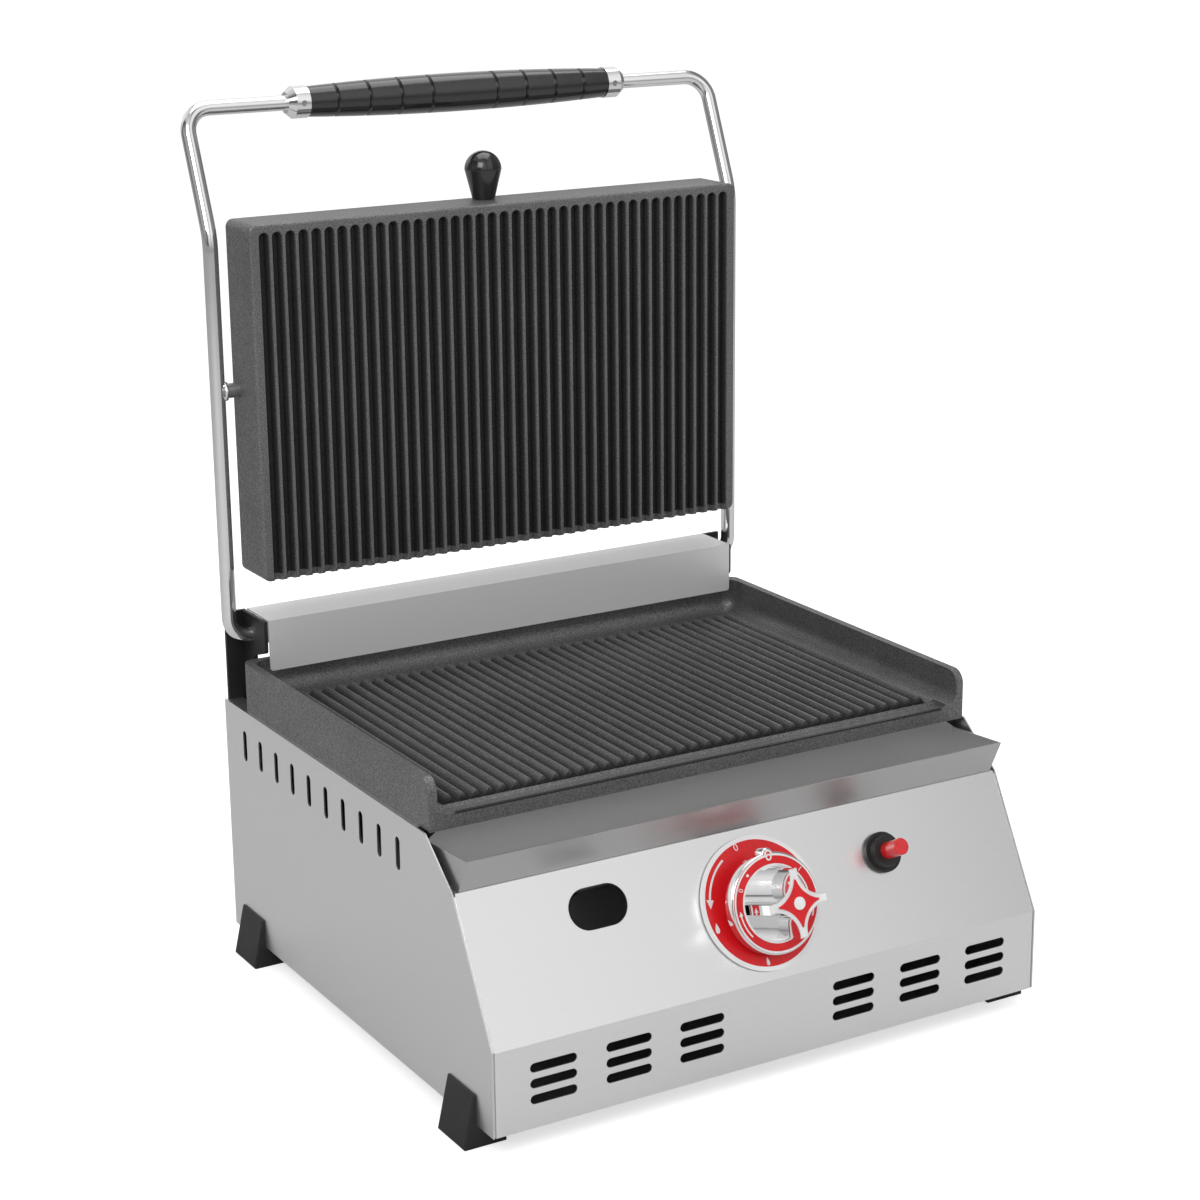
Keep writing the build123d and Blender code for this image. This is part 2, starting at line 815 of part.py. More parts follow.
# Hinge brackets: a web with a nose under the cover, a wing on the body and a bolted tab
web_top = hinge_z + bracket_top_gap
nose_y = hinge_y - bracket_nose
neck_y = hinge_y - bracket_neck
leg_bottom = body_top - bracket_leg
bracket_rear = back(body_depth - sheet)
bush_radius = rod_radius + bush_clearance + bush_wall
for side, hand in ((-1, "left"), (1, "right")):
    with BuildPart() as hinge_bracket:
        with BuildSketch(Plane.YZ.offset(side * web_outer)):
            with BuildLine():
                Polyline(
                    (nose_y, web_top),
                    (bracket_rear, web_top),
                    (bracket_rear, leg_bottom),
                    (neck_y, leg_bottom),
                    (neck_y, web_top - bracket_nose_depth - bracket_slant),
                    (nose_y, web_top - bracket_nose_depth),
                    close=True,
                )
            make_face()
            with Locations((hinge_y, hinge_z)):
                Circle(bush_radius + bush_fit, mode=Mode.SUBTRACT)
        extrude(amount=-side * bracket_sheet)
        fillet(
            hinge_bracket.edges().filter_by(Axis.X).group_by(Axis.Y)[0].sort_by(Axis.Z)[0],
            radius=bracket_round,
        )
        with BuildSketch(Plane.XZ.offset(-bracket_rear)):
            with Locations((side * web_outer, body_top)):
                Rectangle(
                    half_width - bracket_wing_gap - web_outer,
                    web_top - body_top,
                    align=(Align.MIN if side > 0 else Align.MAX, Align.MIN),
                )
            with Locations((side * web_inner, leg_bottom)):
                Rectangle(
                    bracket_fixing,
                    bracket_leg - side_flange,
                    align=(Align.MAX if side > 0 else Align.MIN, Align.MIN),
                )
            with Locations(*bolt_places):
                Circle(bolt_radius + hole_clearance, mode=Mode.SUBTRACT)
        extrude(amount=bracket_sheet)
    finish(hinge_bracket.part, f"hinge_bracket_{hand}")

    # Flanged bush in the web
    with BuildPart() as hinge_bush:
        with BuildSketch(Plane.YZ.offset(side * web_outer)):
            with Locations((hinge_y, hinge_z)):
                Circle(bush_radius)
        extrude(amount=-side * bracket_sheet)
        with BuildSketch(Plane.YZ.offset(side * web_inner)):
            with Locations((hinge_y, hinge_z)):
                Circle(bush_flange_radius)
        extrude(amount=-side * bush_flange)
        with BuildSketch(Plane.YZ.offset(side * web_outer)):
            with Locations((hinge_y, hinge_z)):
                Circle(rod_radius + bush_clearance)
        extrude(amount=-side * (bracket_sheet + bush_flange), mode=Mode.SUBTRACT)
    finish(hinge_bush.part, f"hinge_bush_{hand}")

    # Counterbalance spring, a coil round the end of the rod
    with BuildPart() as lid_spring:
        with BuildLine() as coil:
            Helix(
                pitch=lid_spring_pitch,
                height=lid_spring_length - 2 * lid_spring_wire,
                radius=rod_radius + lid_spring_gap + lid_spring_wire,
                center=(side * (web_inner - bush_flange - lid_spring_wire), hinge_y, hinge_z),
                direction=(-side, 0, 0),
            )
        with BuildSketch(Plane(origin=coil.line @ 0, z_dir=coil.line % 0)):
            Circle(lid_spring_wire)
        sweep(path=coil.line, is_frenet=True)
    finish(lid_spring.part, f"lid_spring_{hand}")

# Hinge collars and their screws, which keep the rod in its bushes
hinge_collar_x = web_inner - bush_flange - lid_spring_length - collar_gap
with BuildPart() as hinge_collars:
    for side in (-1, 1):
        with BuildSketch(Plane.YZ.offset(side * hinge_collar_x)):
            with Locations((hinge_y, hinge_z)):
                Circle(hinge_collar_radius)
                Circle(rod_radius + collar_fit, mode=Mode.SUBTRACT)
        extrude(amount=-side * hinge_collar_length)
        with BuildSketch(Plane.XY.offset(hinge_z + rod_radius)):
            with Locations((side * (hinge_collar_x - hinge_collar_length / 2), hinge_y)):
                Circle(set_screw_radius)
        extrude(amount=hinge_collar_radius, mode=Mode.SUBTRACT)
finish(hinge_collars.part, "hinge_collars")

with BuildPart() as hinge_collar_screws:
    with BuildSketch(Plane.XY.offset(hinge_z + rod_radius)):
        for side in (-1, 1):
            with Locations((side * (hinge_collar_x - hinge_collar_length / 2), hinge_y)):
                Circle(set_screw_radius - collar_fit)
    extrude(amount=hinge_collar_radius - rod_radius - set_screw_sink)
finish(hinge_collar_screws.part, "hinge_collar_screws")

# Hinge cover, an angle of stainless sheet between the webs
cover_half = web_inner - cover_side_gap
cover_front = nose_y - bracket_cover_gap - cover_sheet
cover_top = web_top + cover_sheet
with BuildPart() as hinge_cover:
    with BuildSketch(Plane.YZ):
        with BuildLine():
            Polyline(
                (cover_front, cover_top - cover_height),
                (cover_front, cover_top),
                (cover_front + cover_depth, cover_top),
            )
            offset(amount=cover_sheet, side=Side.RIGHT)
        make_face()
    extrude(amount=cover_half, both=True)
    fillet(
        hinge_cover.edges().filter_by(Axis.Y).group_by(Axis.Z)[0],
        radius=cover_corner_round,
    )
    for side in (-1, 1):
        with BuildSketch(Plane.YZ.offset(side * cover_half)):
            with Locations((cover_front, cover_top)):
                Rectangle(cover_tab, cover_tab_drop, align=(Align.MIN, Align.MAX))
        extrude(amount=-side * cover_sheet)
finish(hinge_cover.part, "hinge_cover")

# Bracket bolts with their nuts, through the rear panel
nut_back = body_depth - sheet - bracket_sheet
with BuildPart() as bracket_bolts:
    with BuildSketch(rear_plane):
        with Locations(*bolt_places):
            RegularPolygon(bolt_head_radius, 6)
    extrude(amount=-bolt_head_height)
    with BuildSketch(rear_plane):
        with Locations(*bolt_places):
            Circle(bolt_radius)
    extrude(amount=sheet + bracket_sheet + bolt_head_height)
    with BuildSketch(Plane.XZ.offset(-back(nut_back))):
        with Locations(*bolt_places):
            RegularPolygon(bolt_head_radius, 6)
    extrude(amount=bolt_head_height)
finish(bracket_bolts.part, "bracket_bolts")

# Grease tray, resting on the front panel's shelf
tray_half = half_width - tray_side_gap
tray_z = slope_top + tray_gap
tray_rear = slope_run + tray_depth
tray_tall = 2 * tray_rear_height
tray_lean_rate = tray_lean / tray_front_height
with BuildPart() as grease_tray:
    with BuildSketch(Plane.YZ):
        with BuildLine():
            Polyline(
                (back(slope_run), tray_z),
                (back(tray_rear), tray_z),
                (back(tray_rear), tray_z + tray_tall),
                (back(slope_run - tray_tall * tray_lean_rate), tray_z + tray_tall),
                close=True,
            )
        make_face()
    extrude(amount=tray_half, both=True)
    with BuildSketch(Plane.YZ):
        with BuildLine():
            Polyline(
                (back(slope_run), tray_z),
                (back(tray_rear), tray_z),
                (back(tray_rear), tray_z + tray_tall),
                (back(slope_run - tray_tall * tray_lean_rate), tray_z + tray_tall),
                close=True,
            )
        make_face()
        offset(amount=-tray_sheet, mode=Mode.REPLACE)
    extrude(amount=tray_half - tray_sheet, both=True, mode=Mode.SUBTRACT)
    with BuildSketch(Plane.YZ):
        with BuildLine():
            Polyline(
                (back(slope_run - tray_lean), tray_z + tray_front_height),
                (back(tray_rear - tray_sheet), tray_z + tray_end_rear_height),
                (back(tray_rear - tray_sheet), tray_z + tray_rear_height),
                (back(tray_rear + tray_sheet), tray_z + tray_rear_height),
                (back(tray_rear + tray_sheet), tray_z + tray_tall + tray_sheet),
                (back(slope_run - 2 * tray_tall), tray_z + tray_tall + tray_sheet),
                (back(slope_run - 2 * tray_tall), tray_z + tray_front_height),
                close=True,
            )
        make_face()
    extrude(amount=tray_half + tray_sheet, both=True, mode=Mode.SUBTRACT)
    with BuildSketch(Plane.XZ.offset(-back(tray_rear))):
        for side in (-1, 1):
            with BuildLine():
                Polyline(
                    (side * tray_half, tray_z + tray_end_rear_height),
                    (side * tray_half, tray_z + tray_rear_height),
                    (side * (tray_half - tray_clip), tray_z + tray_rear_height),
                    close=True,
                )
            make_face()
    extrude(amount=tray_sheet, mode=Mode.SUBTRACT)
finish(grease_tray.part, "grease_tray")

# Feet, wedges that wrap the bottom edge of the side panels, with their screws
for side, hand in ((-1, "left"), (1, "right")):
    for start, row in ((foot_front, "front"), (foot_rear, "rear")):
        with BuildPart() as foot:
            with BuildSketch(Plane.XZ.offset(-back(start))):
                with BuildLine():
                    Polyline(
                        (side * (half_width - foot_wrap), 0),
                        (side * (half_width + foot_splay), 0),
                        (side * (half_width + foot_top_out), foot_lift + foot_overlap),
                        (side * half_width, foot_lift + foot_overlap),
                        (side * half_width, foot_lift),
                        (side * (half_width - foot_wrap), foot_lift),
                        close=True,
                    )
                make_face()
            extrude(amount=-foot_length)
            outer_face = foot.faces().sort_by(Axis.X)[-1 if side > 0 else 0]
            fillet(outer_face.edges().filter_by(Axis.X, reverse=True), radius=foot_round)
            with BuildSketch(Plane.XY):
                with Locations((side * (half_width - foot_wrap / 2), back(start + foot_length / 2))):
                    Circle(foot_screw_head + hole_clearance)
            extrude(amount=foot_screw_sink, mode=Mode.SUBTRACT)
            with BuildSketch(Plane.XY):
                with Locations((side * (half_width - foot_wrap / 2), back(start + foot_length / 2))):
                    Circle(foot_screw_radius + hole_clearance)
            extrude(amount=foot_lift, mode=Mode.SUBTRACT)
        finish(foot.part, f"foot_{row}_{hand}")

pan_top = pan_bottom + sheet
with BuildPart() as foot_screws:
    with BuildSketch(Plane.XY.offset(foot_screw_sink)):
        with Locations(*foot_places):
            Circle(foot_screw_head)
    extrude(amount=-foot_screw_head_height)
    with BuildSketch(Plane.XY.offset(foot_screw_sink)):
        with Locations(*foot_places):
            Circle(foot_screw_radius)
    extrude(amount=pan_top + foot_screw_head_height - foot_screw_sink)
    with BuildSketch(Plane.XY.offset(pan_top)):
        with Locations(*foot_places):
            RegularPolygon(foot_screw_head, 6)
    extrude(amount=foot_screw_head_height)
finish(foot_screws.part, "foot_screws")

# Dial plate on its seat ring
with BuildPart() as dial_plate:
    with BuildSketch(control):
        Circle(dial_seat_radius)
        Circle(dial_bore, mode=Mode.SUBTRACT)
    extrude(amount=dial_seat)
    with BuildSketch(control.offset(dial_seat)):
        Circle(dial_radius)
        Circle(dial_bore, mode=Mode.SUBTRACT)
    extrude(amount=dial_thickness)
finish(dial_plate.part, "dial_plate")


def star_face(plane, reach, tip, waist):
    """A four-pointed star with hollow sides."""
    half_tip = tip / 2
    hollow_at = waist / sqrt(2)
    with BuildSketch(plane) as star:
        with BuildLine():
            for turn in range(4):
                spin = Rotation(0, 0, 90 * turn)
                near = (spin * Pos(reach, half_tip)).position
                hollow = (spin * Pos(hollow_at, hollow_at)).position
                far = (spin * Pos(half_tip, reach)).position
                across = (spin * Pos(-half_tip, reach)).position
                ThreePointArc(near, hollow, far)
                Line(far, across)
        make_face()
    return star.sketch


# Control knob: skirt with a pointer, bowl and star grip, one chromed moulding
bowl_floor = knob_front - knob_bowl_depth
stem_out = knob_front - stem_fit
with BuildPart() as knob_body:
    with BuildSketch(knob_plane.offset(knob_back)):
        Circle(knob_radius)
        with Locations((0, pointer_out)):
            Circle(pointer_radius)
    extrude(amount=knob_thickness)
    fillet(knob_body.faces().sort_by(knob_axis)[-1].edges(), radius=knob_edge_round)
    with BuildSketch(knob_plane.offset(knob_front)):
        Circle(knob_bowl_radius)
    extrude(amount=-knob_bowl_depth, mode=Mode.SUBTRACT)
    extrude(
        star_face(knob_plane.offset(bowl_floor), star_radius, star_tip, star_waist),
        amount=knob_bowl_depth + star_height,
    )
    with BuildSketch(knob_plane.offset(knob_hub_back)):
        Circle(knob_hub_radius)
    extrude(amount=knob_back - knob_hub_back)
    with BuildSketch(knob_plane.offset(knob_hub_back)):
        Circle(stem_radius + stem_fit)
    extrude(amount=stem_out - knob_hub_back + stem_fit, mode=Mode.SUBTRACT)
finish(knob_body.part, "knob_body")

with BuildPart() as knob_ring:
    with BuildSketch(knob_plane.offset(knob_front)):
        Circle(knob_radius - knob_edge_round)
        with Locations((0, pointer_out)):
            Circle(pointer_radius - knob_edge_round)
        Circle(knob_bowl_radius + ring_inner_gap, mode=Mode.SUBTRACT)
    extrude(amount=ring_thickness)
finish(knob_ring.part, "knob_ring")

with BuildPart() as knob_star_inlay:
    extrude(
        star_face(knob_plane.offset(knob_reach), star_radius - inlay_inset, inlay_tip, star_waist - inlay_margin),
        amount=inlay_thickness,
    )
finish(knob_star_inlay.part, "knob_star_inlay")

with BuildPart() as knob_centre_dot:
    with BuildSketch(knob_plane.offset(knob_reach + inlay_thickness)):
        Circle(dot_radius)
    extrude(amount=dot_rise)
finish(knob_centre_dot.part, "knob_centre_dot")

# Valve stem, plunger, spring, body and nut, on the axis of the knob
valve_face = -sheet - valve_setback
chamber_out = -sheet - plunger_depth
chamber_in = -sheet - valve_bore_depth
with BuildPart() as valve_stem:
    with BuildSketch(knob_plane.offset(stem_out)):
        Circle(stem_radius)
    extrude(amount=-stem_length)
finish(valve_stem.part, "valve_stem")

with BuildPart() as gas_valve_body:
    with BuildSketch(knob_plane.offset(valve_face)):
        Circle(valve_radius)
    extrude(amount=-valve_length)
    with BuildSketch(knob_plane.offset(valve_face)):
        Circle(nose_radius)
    extrude(amount=nose_out - valve_face)
    with BuildSketch(knob_plane.offset(nose_out)):
        Circle(stem_radius + nose_clearance)
    extrude(amount=chamber_out - nose_out, mode=Mode.SUBTRACT)
    with BuildSketch(knob_plane.offset(chamber_out)):
        Circle(valve_bore)
    extrude(amount=chamber_in - chamber_out, mode=Mode.SUBTRACT)
finish(gas_valve_body.part, "gas_valve_body")

plunger_out = chamber_out - plunger_radius / 4
with BuildPart() as valve_plunger:
    with BuildSketch(knob_plane.offset(plunger_out)):
        Circle(plunger_radius)
        Circle(stem_radius + stem_fit, mode=Mode.SUBTRACT)
    extrude(amount=-plunger_length)
finish(valve_plunger.part, "valve_plunger")

valve_spring_bore = stem_radius + nose_clearance
valve_spring_length = plunger_out - plunger_length - knob_travel - nose_clearance - chamber_in
with BuildPart() as valve_spring:
    with BuildSketch(knob_plane.offset(chamber_in)):
        Circle(valve_spring_bore + valve_spring_wall)
        Circle(valve_spring_bore, mode=Mode.SUBTRACT)
    extrude(amount=valve_spring_length)
finish(valve_spring.part, "valve_spring")

# Igniter barrel with its bezel, nut, spring and button
igniter_axis_plane = Plane(
    origin=control_point(igniter_x, igniter_up, 0), x_dir=(1, 0, 0), z_dir=control.z_dir
)
button_bore_radius = button_radius + button_clearance
with BuildPart() as igniter_body:
    with BuildSketch(igniter_axis_plane):
        Circle(igniter_barrel_radius)
    extrude(amount=-igniter_barrel_length)
    with BuildSketch(igniter_axis_plane):
        Circle(bezel_radius)
    extrude(amount=bezel_step)
    with BuildSketch(igniter_axis_plane.offset(bezel_step)):
        Circle(bezel_nose_radius + bezel_step / 2)
    with BuildSketch(igniter_axis_plane.offset(bezel_height)):
        Circle(bezel_nose_radius)
    loft()
    with BuildSketch(igniter_axis_plane.offset(bezel_height)):
        Circle(button_bore_radius)
    extrude(amount=-igniter_bore_depth, mode=Mode.SUBTRACT)
finish(igniter_body.part, "igniter_body")

with BuildPart() as igniter_nut:
    with BuildSketch(igniter_axis_plane.offset(-sheet)):
        RegularPolygon(igniter_nut_radius, 6)
        Circle(igniter_barrel_radius, mode=Mode.SUBTRACT)
    extrude(amount=-igniter_nut_thickness)
finish(igniter_nut.part, "igniter_nut")

with BuildPart() as igniter_button:
    with BuildSketch(igniter_axis_plane.offset(bezel_height - button_tail)):
        Circle(button_radius)
    extrude(amount=button_tail + button_length)
    fillet(igniter_button.edges().sort_by(Axis.Y)[0], radius=button_round)
finish(igniter_button.part, "igniter_button")

igniter_spring_base = bezel_height - igniter_bore_depth
igniter_spring_length = igniter_bore_depth - button_tail - button_travel - nose_clearance
with BuildPart() as igniter_spring:
    with BuildSketch(igniter_axis_plane.offset(igniter_spring_base)):
        Circle(button_radius)
        Circle(button_radius - igniter_spring_wall, mode=Mode.SUBTRACT)
    extrude(amount=igniter_spring_length)
finish(igniter_spring.part, "igniter_spring")

# Feed pipe: a rail across, fed by a riser from the valve, with a nut at the valve
rail_point = valve_point(0, rail_up, -rail_in)
rail_y = rail_point[1]
rail_z = rail_point[2]
rail_half = burner_x + rail_overhang
riser_plane = Plane(origin=valve_point(0, valve_radius, -rail_in), x_dir=(1, 0, 0), z_dir=knob_plane.y_dir)
with BuildPart() as feed_pipe:
    with BuildSketch(Plane.YZ):
        with Locations((rail_y, rail_z)):
            Circle(rail_radius)
    extrude(amount=rail_half, both=True)
    with BuildSketch(riser_plane):
        Circle(riser_radius)
    extrude(amount=rail_up - valve_radius)
finish(feed_pipe.part, "feed_pipe")

with BuildPart() as riser_nut:
    with BuildSketch(riser_plane):
        RegularPolygon(riser_nut_radius, 6)
        Circle(riser_radius, mode=Mode.SUBTRACT)
    extrude(amount=riser_nut_height)
    with BuildSketch(knob_plane.offset(valve_face)):
        Circle(valve_radius)
    extrude(amount=-valve_length, mode=Mode.SUBTRACT)
finish(riser_nut.part, "riser_nut")

with BuildPart() as injectors:
    with BuildSketch(Plane.XZ.offset(-rail_y)):
        with Locations((-burner_x, rail_z), (burner_x, rail_z)):
            Circle(injector_radius - sheet / 2)
    extrude(amount=-rail_radius - injector_length)
    with BuildSketch(Plane.XZ.offset(-rail_y - rail_radius - injector_length)):
        with Locations((-burner_x, rail_z), (burner_x, rail_z)):
            Circle(injector_bore)
    extrude(amount=injector_nose, mode=Mode.SUBTRACT)
    with BuildSketch(Plane.YZ):
        with Locations((rail_y, rail_z)):
            Circle(rail_radius)
    extrude(amount=rail_half, both=True, mode=Mode.SUBTRACT)
finish(injectors.part, "injectors")

# Tube burners, with a flared mouth, a throat, ports on top and a pin at the closed end
mouth_end = burner_front + burner_mouth_length
throat_end = mouth_end + burner_throat_length
cone_end = throat_end + burner_cone_length
burner_end = burner_front + burner_length
port_count = int((burner_length - burner_mouth_length - burner_throat_length - burner_port_pitch * 3)
                 / burner_port_pitch)
for side, hand in ((-1, "left"), (1, "right")):
    tube_plane = Plane(origin=(side * burner_x, 0, rail_z), x_dir=(0, 1, 0), z_dir=(-1, 0, 0))
    tube_axis = Axis((side * burner_x, 0, rail_z), (0, 1, 0))
    with BuildPart() as burner:
        with BuildSketch(tube_plane):
            with BuildLine():
                Polyline(
                    (back(burner_front), burner_mouth_radius),
                    (back(mouth_end), burner_throat_radius),
                    (back(throat_end), burner_throat_radius),
                    (back(cone_end), burner_radius),
                    (back(burner_end), burner_radius),
                    (back(burner_end), burner_pin_radius),
                    (back(burner_end + burner_pin_length), burner_pin_radius),
                    (back(burner_end + burner_pin_length), 0),
                    (back(burner_end - burner_wall), 0),
                    (back(burner_end - burner_wall), burner_radius - burner_wall),
                    (back(cone_end), burner_radius - burner_wall),
                    (back(throat_end), burner_throat_radius - burner_wall),
                    (back(mouth_end), burner_throat_radius - burner_wall),
                    (back(burner_front), burner_mouth_radius - burner_wall),
                    close=True,
                )
            make_face()
        revolve(axis=tube_axis)
        with BuildSketch(Plane.XY.offset(rail_z + burner_radius / 2)):
            for i in range(port_count):
                with Locations((side * burner_x, back(cone_end + (i + 1) * burner_port_pitch))):
                    Rectangle(burner_port_length, burner_port_width)
        extrude(amount=burner_radius, mode=Mode.SUBTRACT)
    finish(burner.part, f"burner_{hand}")

# Burner supports, standing on the base pan
for face_back, row, hole_radius in (
    (support_back, "front", burner_throat_radius),
    (burner_end + support_rear_gap, "rear", burner_pin_radius),
):
    with BuildPart() as burner_support:
        with BuildSketch(Plane.XZ.offset(-back(face_back))):
            with Locations((0, pan_top)):
                Rectangle(2 * inner_half, support_height, align=(Align.CENTER, Align.MIN))
            with Locations((-burner_x, rail_z), (burner_x, rail_z)):
                Circle(hole_radius + support_clearance, mode=Mode.SUBTRACT)
            with Locations((pipe_x, pipe_z)):
                Circle(pipe_radius + sheet, mode=Mode.SUBTRACT)
            if row == "front":
                with Locations((electrode_x, electrode_z)):
                    Circle(electrode_radius + hole_clearance, mode=Mode.SUBTRACT)
                with Locations((-electrode_x, electrode_z)):
                    Circle(thermocouple_radius + hole_clearance, mode=Mode.SUBTRACT)
        extrude(amount=-sheet)
        with BuildSketch(Plane.XZ.offset(-back(face_back))):
            with Locations((0, pan_top)):
                Rectangle(2 * panel_half, sheet, align=(Align.CENTER, Align.MIN))
        extrude(amount=-support_flange)
    finish(burner_support.part, f"burner_support_{row}")

# Heat shield between the supports
shield_front = support_back + sheet
shield_rear = burner_end + support_rear_gap
with BuildPart() as heat_shield:
    with BuildSketch(Plane.YZ):
        with BuildLine():
            Polyline(
                (back(shield_front), shield_z + shield_upstand),
                (back(shield_front), shield_z),
                (back(shield_rear), shield_z),
                (back(shield_rear), shield_z + shield_upstand),
            )
            offset(amount=sheet, side=Side.LEFT)
        make_face()
    extrude(amount=panel_half, both=True)
finish(heat_shield.part, "heat_shield")

# Supply pipe, from the inlet at the rear to the valve
valve_inlet = valve_point(-valve_radius, 0, -pipe_depth)
with BuildPart() as supply_pipe:
    with BuildLine() as pipe_line:
        FilletPolyline(
            valve_inlet,
            (pipe_x, valve_inlet[1], valve_inlet[2]),
            (pipe_x, back(pipe_drop_back), pipe_z),
            (pipe_x, back(body_depth), pipe_z),
            radius=pipe_bend,
        )
    with BuildSketch(Plane(origin=valve_inlet, z_dir=(-1, 0, 0))):
        Circle(pipe_radius)
    sweep(path=pipe_line.line)
finish(supply_pipe.part, "supply_pipe")

# Gas inlet: a hexagon flange and a plain spigot with a chamfered tip, outside the rear panel
inlet_start = body_depth + inlet_flange
with BuildPart() as gas_inlet:
    with BuildSketch(Plane.XZ.offset(-back(inlet_start))):
        with Locations((pipe_x, pipe_z)):
            Circle(inlet_radius)
    extrude(amount=-inlet_length)
    chamfer(gas_inlet.edges().sort_by(Axis.Y)[-1], length=inlet_chamfer)
    with BuildSketch(rear_plane):
        with Locations((pipe_x, pipe_z)):
            RegularPolygon(inlet_flange_radius, 6)
    extrude(amount=-inlet_flange)
    with BuildSketch(rear_plane):
        with Locations((pipe_x, pipe_z)):
            Circle(inlet_bore_radius)
    extrude(amount=-inlet_flange - inlet_length, mode=Mode.SUBTRACT)
finish(gas_inlet.part, "gas_inlet")

# Spark electrode and thermocouple, held by the front support
electrode_front = support_back - electrode_length / 2
with BuildPart() as spark_electrode:
    with BuildSketch(Plane.XZ.offset(-back(electrode_front))):
        with Locations((electrode_x, electrode_z)):
            Circle(electrode_radius)
    extrude(amount=-electrode_length)
    with BuildSketch(Plane.XZ.offset(-back(electrode_front + electrode_length))):
        with Locations((electrode_x, electrode_z)):
            Circle(electrode_wire)
    extrude(amount=-electrode_length / 3)
finish(spark_electrode.part, "spark_electrode")

lead_start = control_point(igniter_x, igniter_up, -igniter_barrel_length)
with BuildPart() as ignition_lead:
    with BuildLine() as lead_line:
        FilletPolyline(
            lead_start,
            control_point(igniter_x, igniter_up, -igniter_barrel_length - lead_straight),
            (igniter_x - lead_sideways, back(lead_turn_back), lead_start[2]),
            (electrode_x, back(electrode_front - lead_straight), electrode_z),
            (electrode_x, back(electrode_front), electrode_z),
            radius=lead_bend,
        )
    with BuildSketch(Plane(origin=lead_start, z_dir=-control.z_dir)):
        Circle(lead_radius)
    sweep(path=lead_line.line)
finish(ignition_lead.part, "ignition_lead")

capillary_start = valve_point(0, 0, valve_face - valve_length)
with BuildPart() as thermocouple:
    with BuildLine() as capillary_line:
        FilletPolyline(
            capillary_start,
            valve_point(0, 0, valve_face - valve_length - lead_straight),
            (-electrode_x / 2, back(lead_turn_back), electrode_z - capillary_drop),
            (-electrode_x, back(electrode_front - lead_straight), electrode_z),
            (-electrode_x, back(electrode_front), electrode_z),
            radius=lead_bend,
        )
    with BuildSketch(Plane(origin=capillary_start, z_dir=-knob_plane.z_dir)):
        Circle(capillary_radius)
    sweep(path=capillary_line.line)
    with BuildSketch(Plane.XZ.offset(-back(electrode_front))):
        with Locations((-electrode_x, electrode_z)):
            Circle(thermocouple_radius)
    extrude(amount=-electrode_length - electrode_length / 3)
finish(thermocouple.part, "thermocouple")
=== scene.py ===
import json
import math

import bmesh
import bpy
from mathutils import Matrix, Vector


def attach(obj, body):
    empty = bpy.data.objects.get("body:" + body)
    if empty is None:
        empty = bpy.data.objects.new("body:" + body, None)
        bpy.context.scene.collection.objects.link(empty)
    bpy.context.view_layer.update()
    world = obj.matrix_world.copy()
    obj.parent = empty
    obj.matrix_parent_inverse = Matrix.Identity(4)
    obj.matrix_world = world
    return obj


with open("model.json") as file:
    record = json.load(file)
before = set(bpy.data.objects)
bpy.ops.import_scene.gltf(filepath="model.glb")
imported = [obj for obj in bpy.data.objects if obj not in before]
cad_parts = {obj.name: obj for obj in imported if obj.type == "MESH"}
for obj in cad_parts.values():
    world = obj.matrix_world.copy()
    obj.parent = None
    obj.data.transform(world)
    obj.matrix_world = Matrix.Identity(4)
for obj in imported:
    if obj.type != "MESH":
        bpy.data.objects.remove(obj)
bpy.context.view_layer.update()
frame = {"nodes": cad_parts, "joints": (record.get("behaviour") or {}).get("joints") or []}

nodes = frame["nodes"]
joints = {joint["name"]: joint for joint in frame["joints"]}
MM = 0.001

# Camera of the photograph
CAMERA_PLACE = Vector((-0.85004, -1.42528, 0.74412))
CAMERA_YAW = 0.5315
CAMERA_PITCH = -0.2823
CAMERA_ROLL = -0.0105
CAMERA_LENS = 79.66
SENSOR = 36.0

# Outward axes of the leaning control face and of the knob, both through the dial's middle
RIGHT = Vector((1, 0, 0))
FACE_OUT = -Vector(joints["igniter_press"]["axis"])
KNOB_OUT = Vector(joints["knob_turn"]["axis"])
DIAL_MIDDLE = Vector(joints["knob_turn"]["pos_m"])


def flat_point(outward, across, up, out):
    """A point over the face or the knob, in millimetres from the middle of the dial."""
    return DIAL_MIDDLE + (RIGHT * across + outward.cross(RIGHT) * up + outward * out) * MM


# Node materials


def new_material(name):
    material = bpy.data.materials.new(name)
    material.use_nodes = True
    return material, material.node_tree, material.node_tree.nodes["Principled BSDF"]


def add_node(tree, kind, **settings):
    node = tree.nodes.new(kind)
    for key, value in settings.items():
        setattr(node, key, value)
    return node


def object_point(tree, stretch=(1, 1, 1)):
    """Object coordinates in metres, stretched along the axes."""
    place = add_node(tree, "ShaderNodeTexCoord")
    mapping = add_node(tree, "ShaderNodeMapping")
    mapping.inputs["Scale"].default_value = stretch
    tree.links.new(place.outputs["Object"], mapping.inputs["Vector"])
    return mapping.outputs["Vector"]


def noise(tree, scale, detail=3.0, stretch=(1, 1, 1)):
    texture = add_node(tree, "ShaderNodeTexNoise")
    texture.inputs["Scale"].default_value = scale
    texture.inputs["Detail"].default_value = detail
    tree.links.new(object_point(tree, stretch), texture.inputs["Vector"])
    return texture.outputs["Fac"]


def ramp(tree, fac, stops):
    """A colour ramp; stops are (position, grey or colour)."""
    node = add_node(tree, "ShaderNodeValToRGB")
    elements = node.color_ramp.elements
    while len(elements) < len(stops):
        elements.new(0.5)
    for element, (place, colour) in zip(elements, stops):
        element.position = place
        rgb = colour if isinstance(colour, tuple) else (colour, colour, colour)
        element.color = (*rgb, 1)
    tree.links.new(fac, node.inputs["Fac"])
    return node.outputs["Color"]


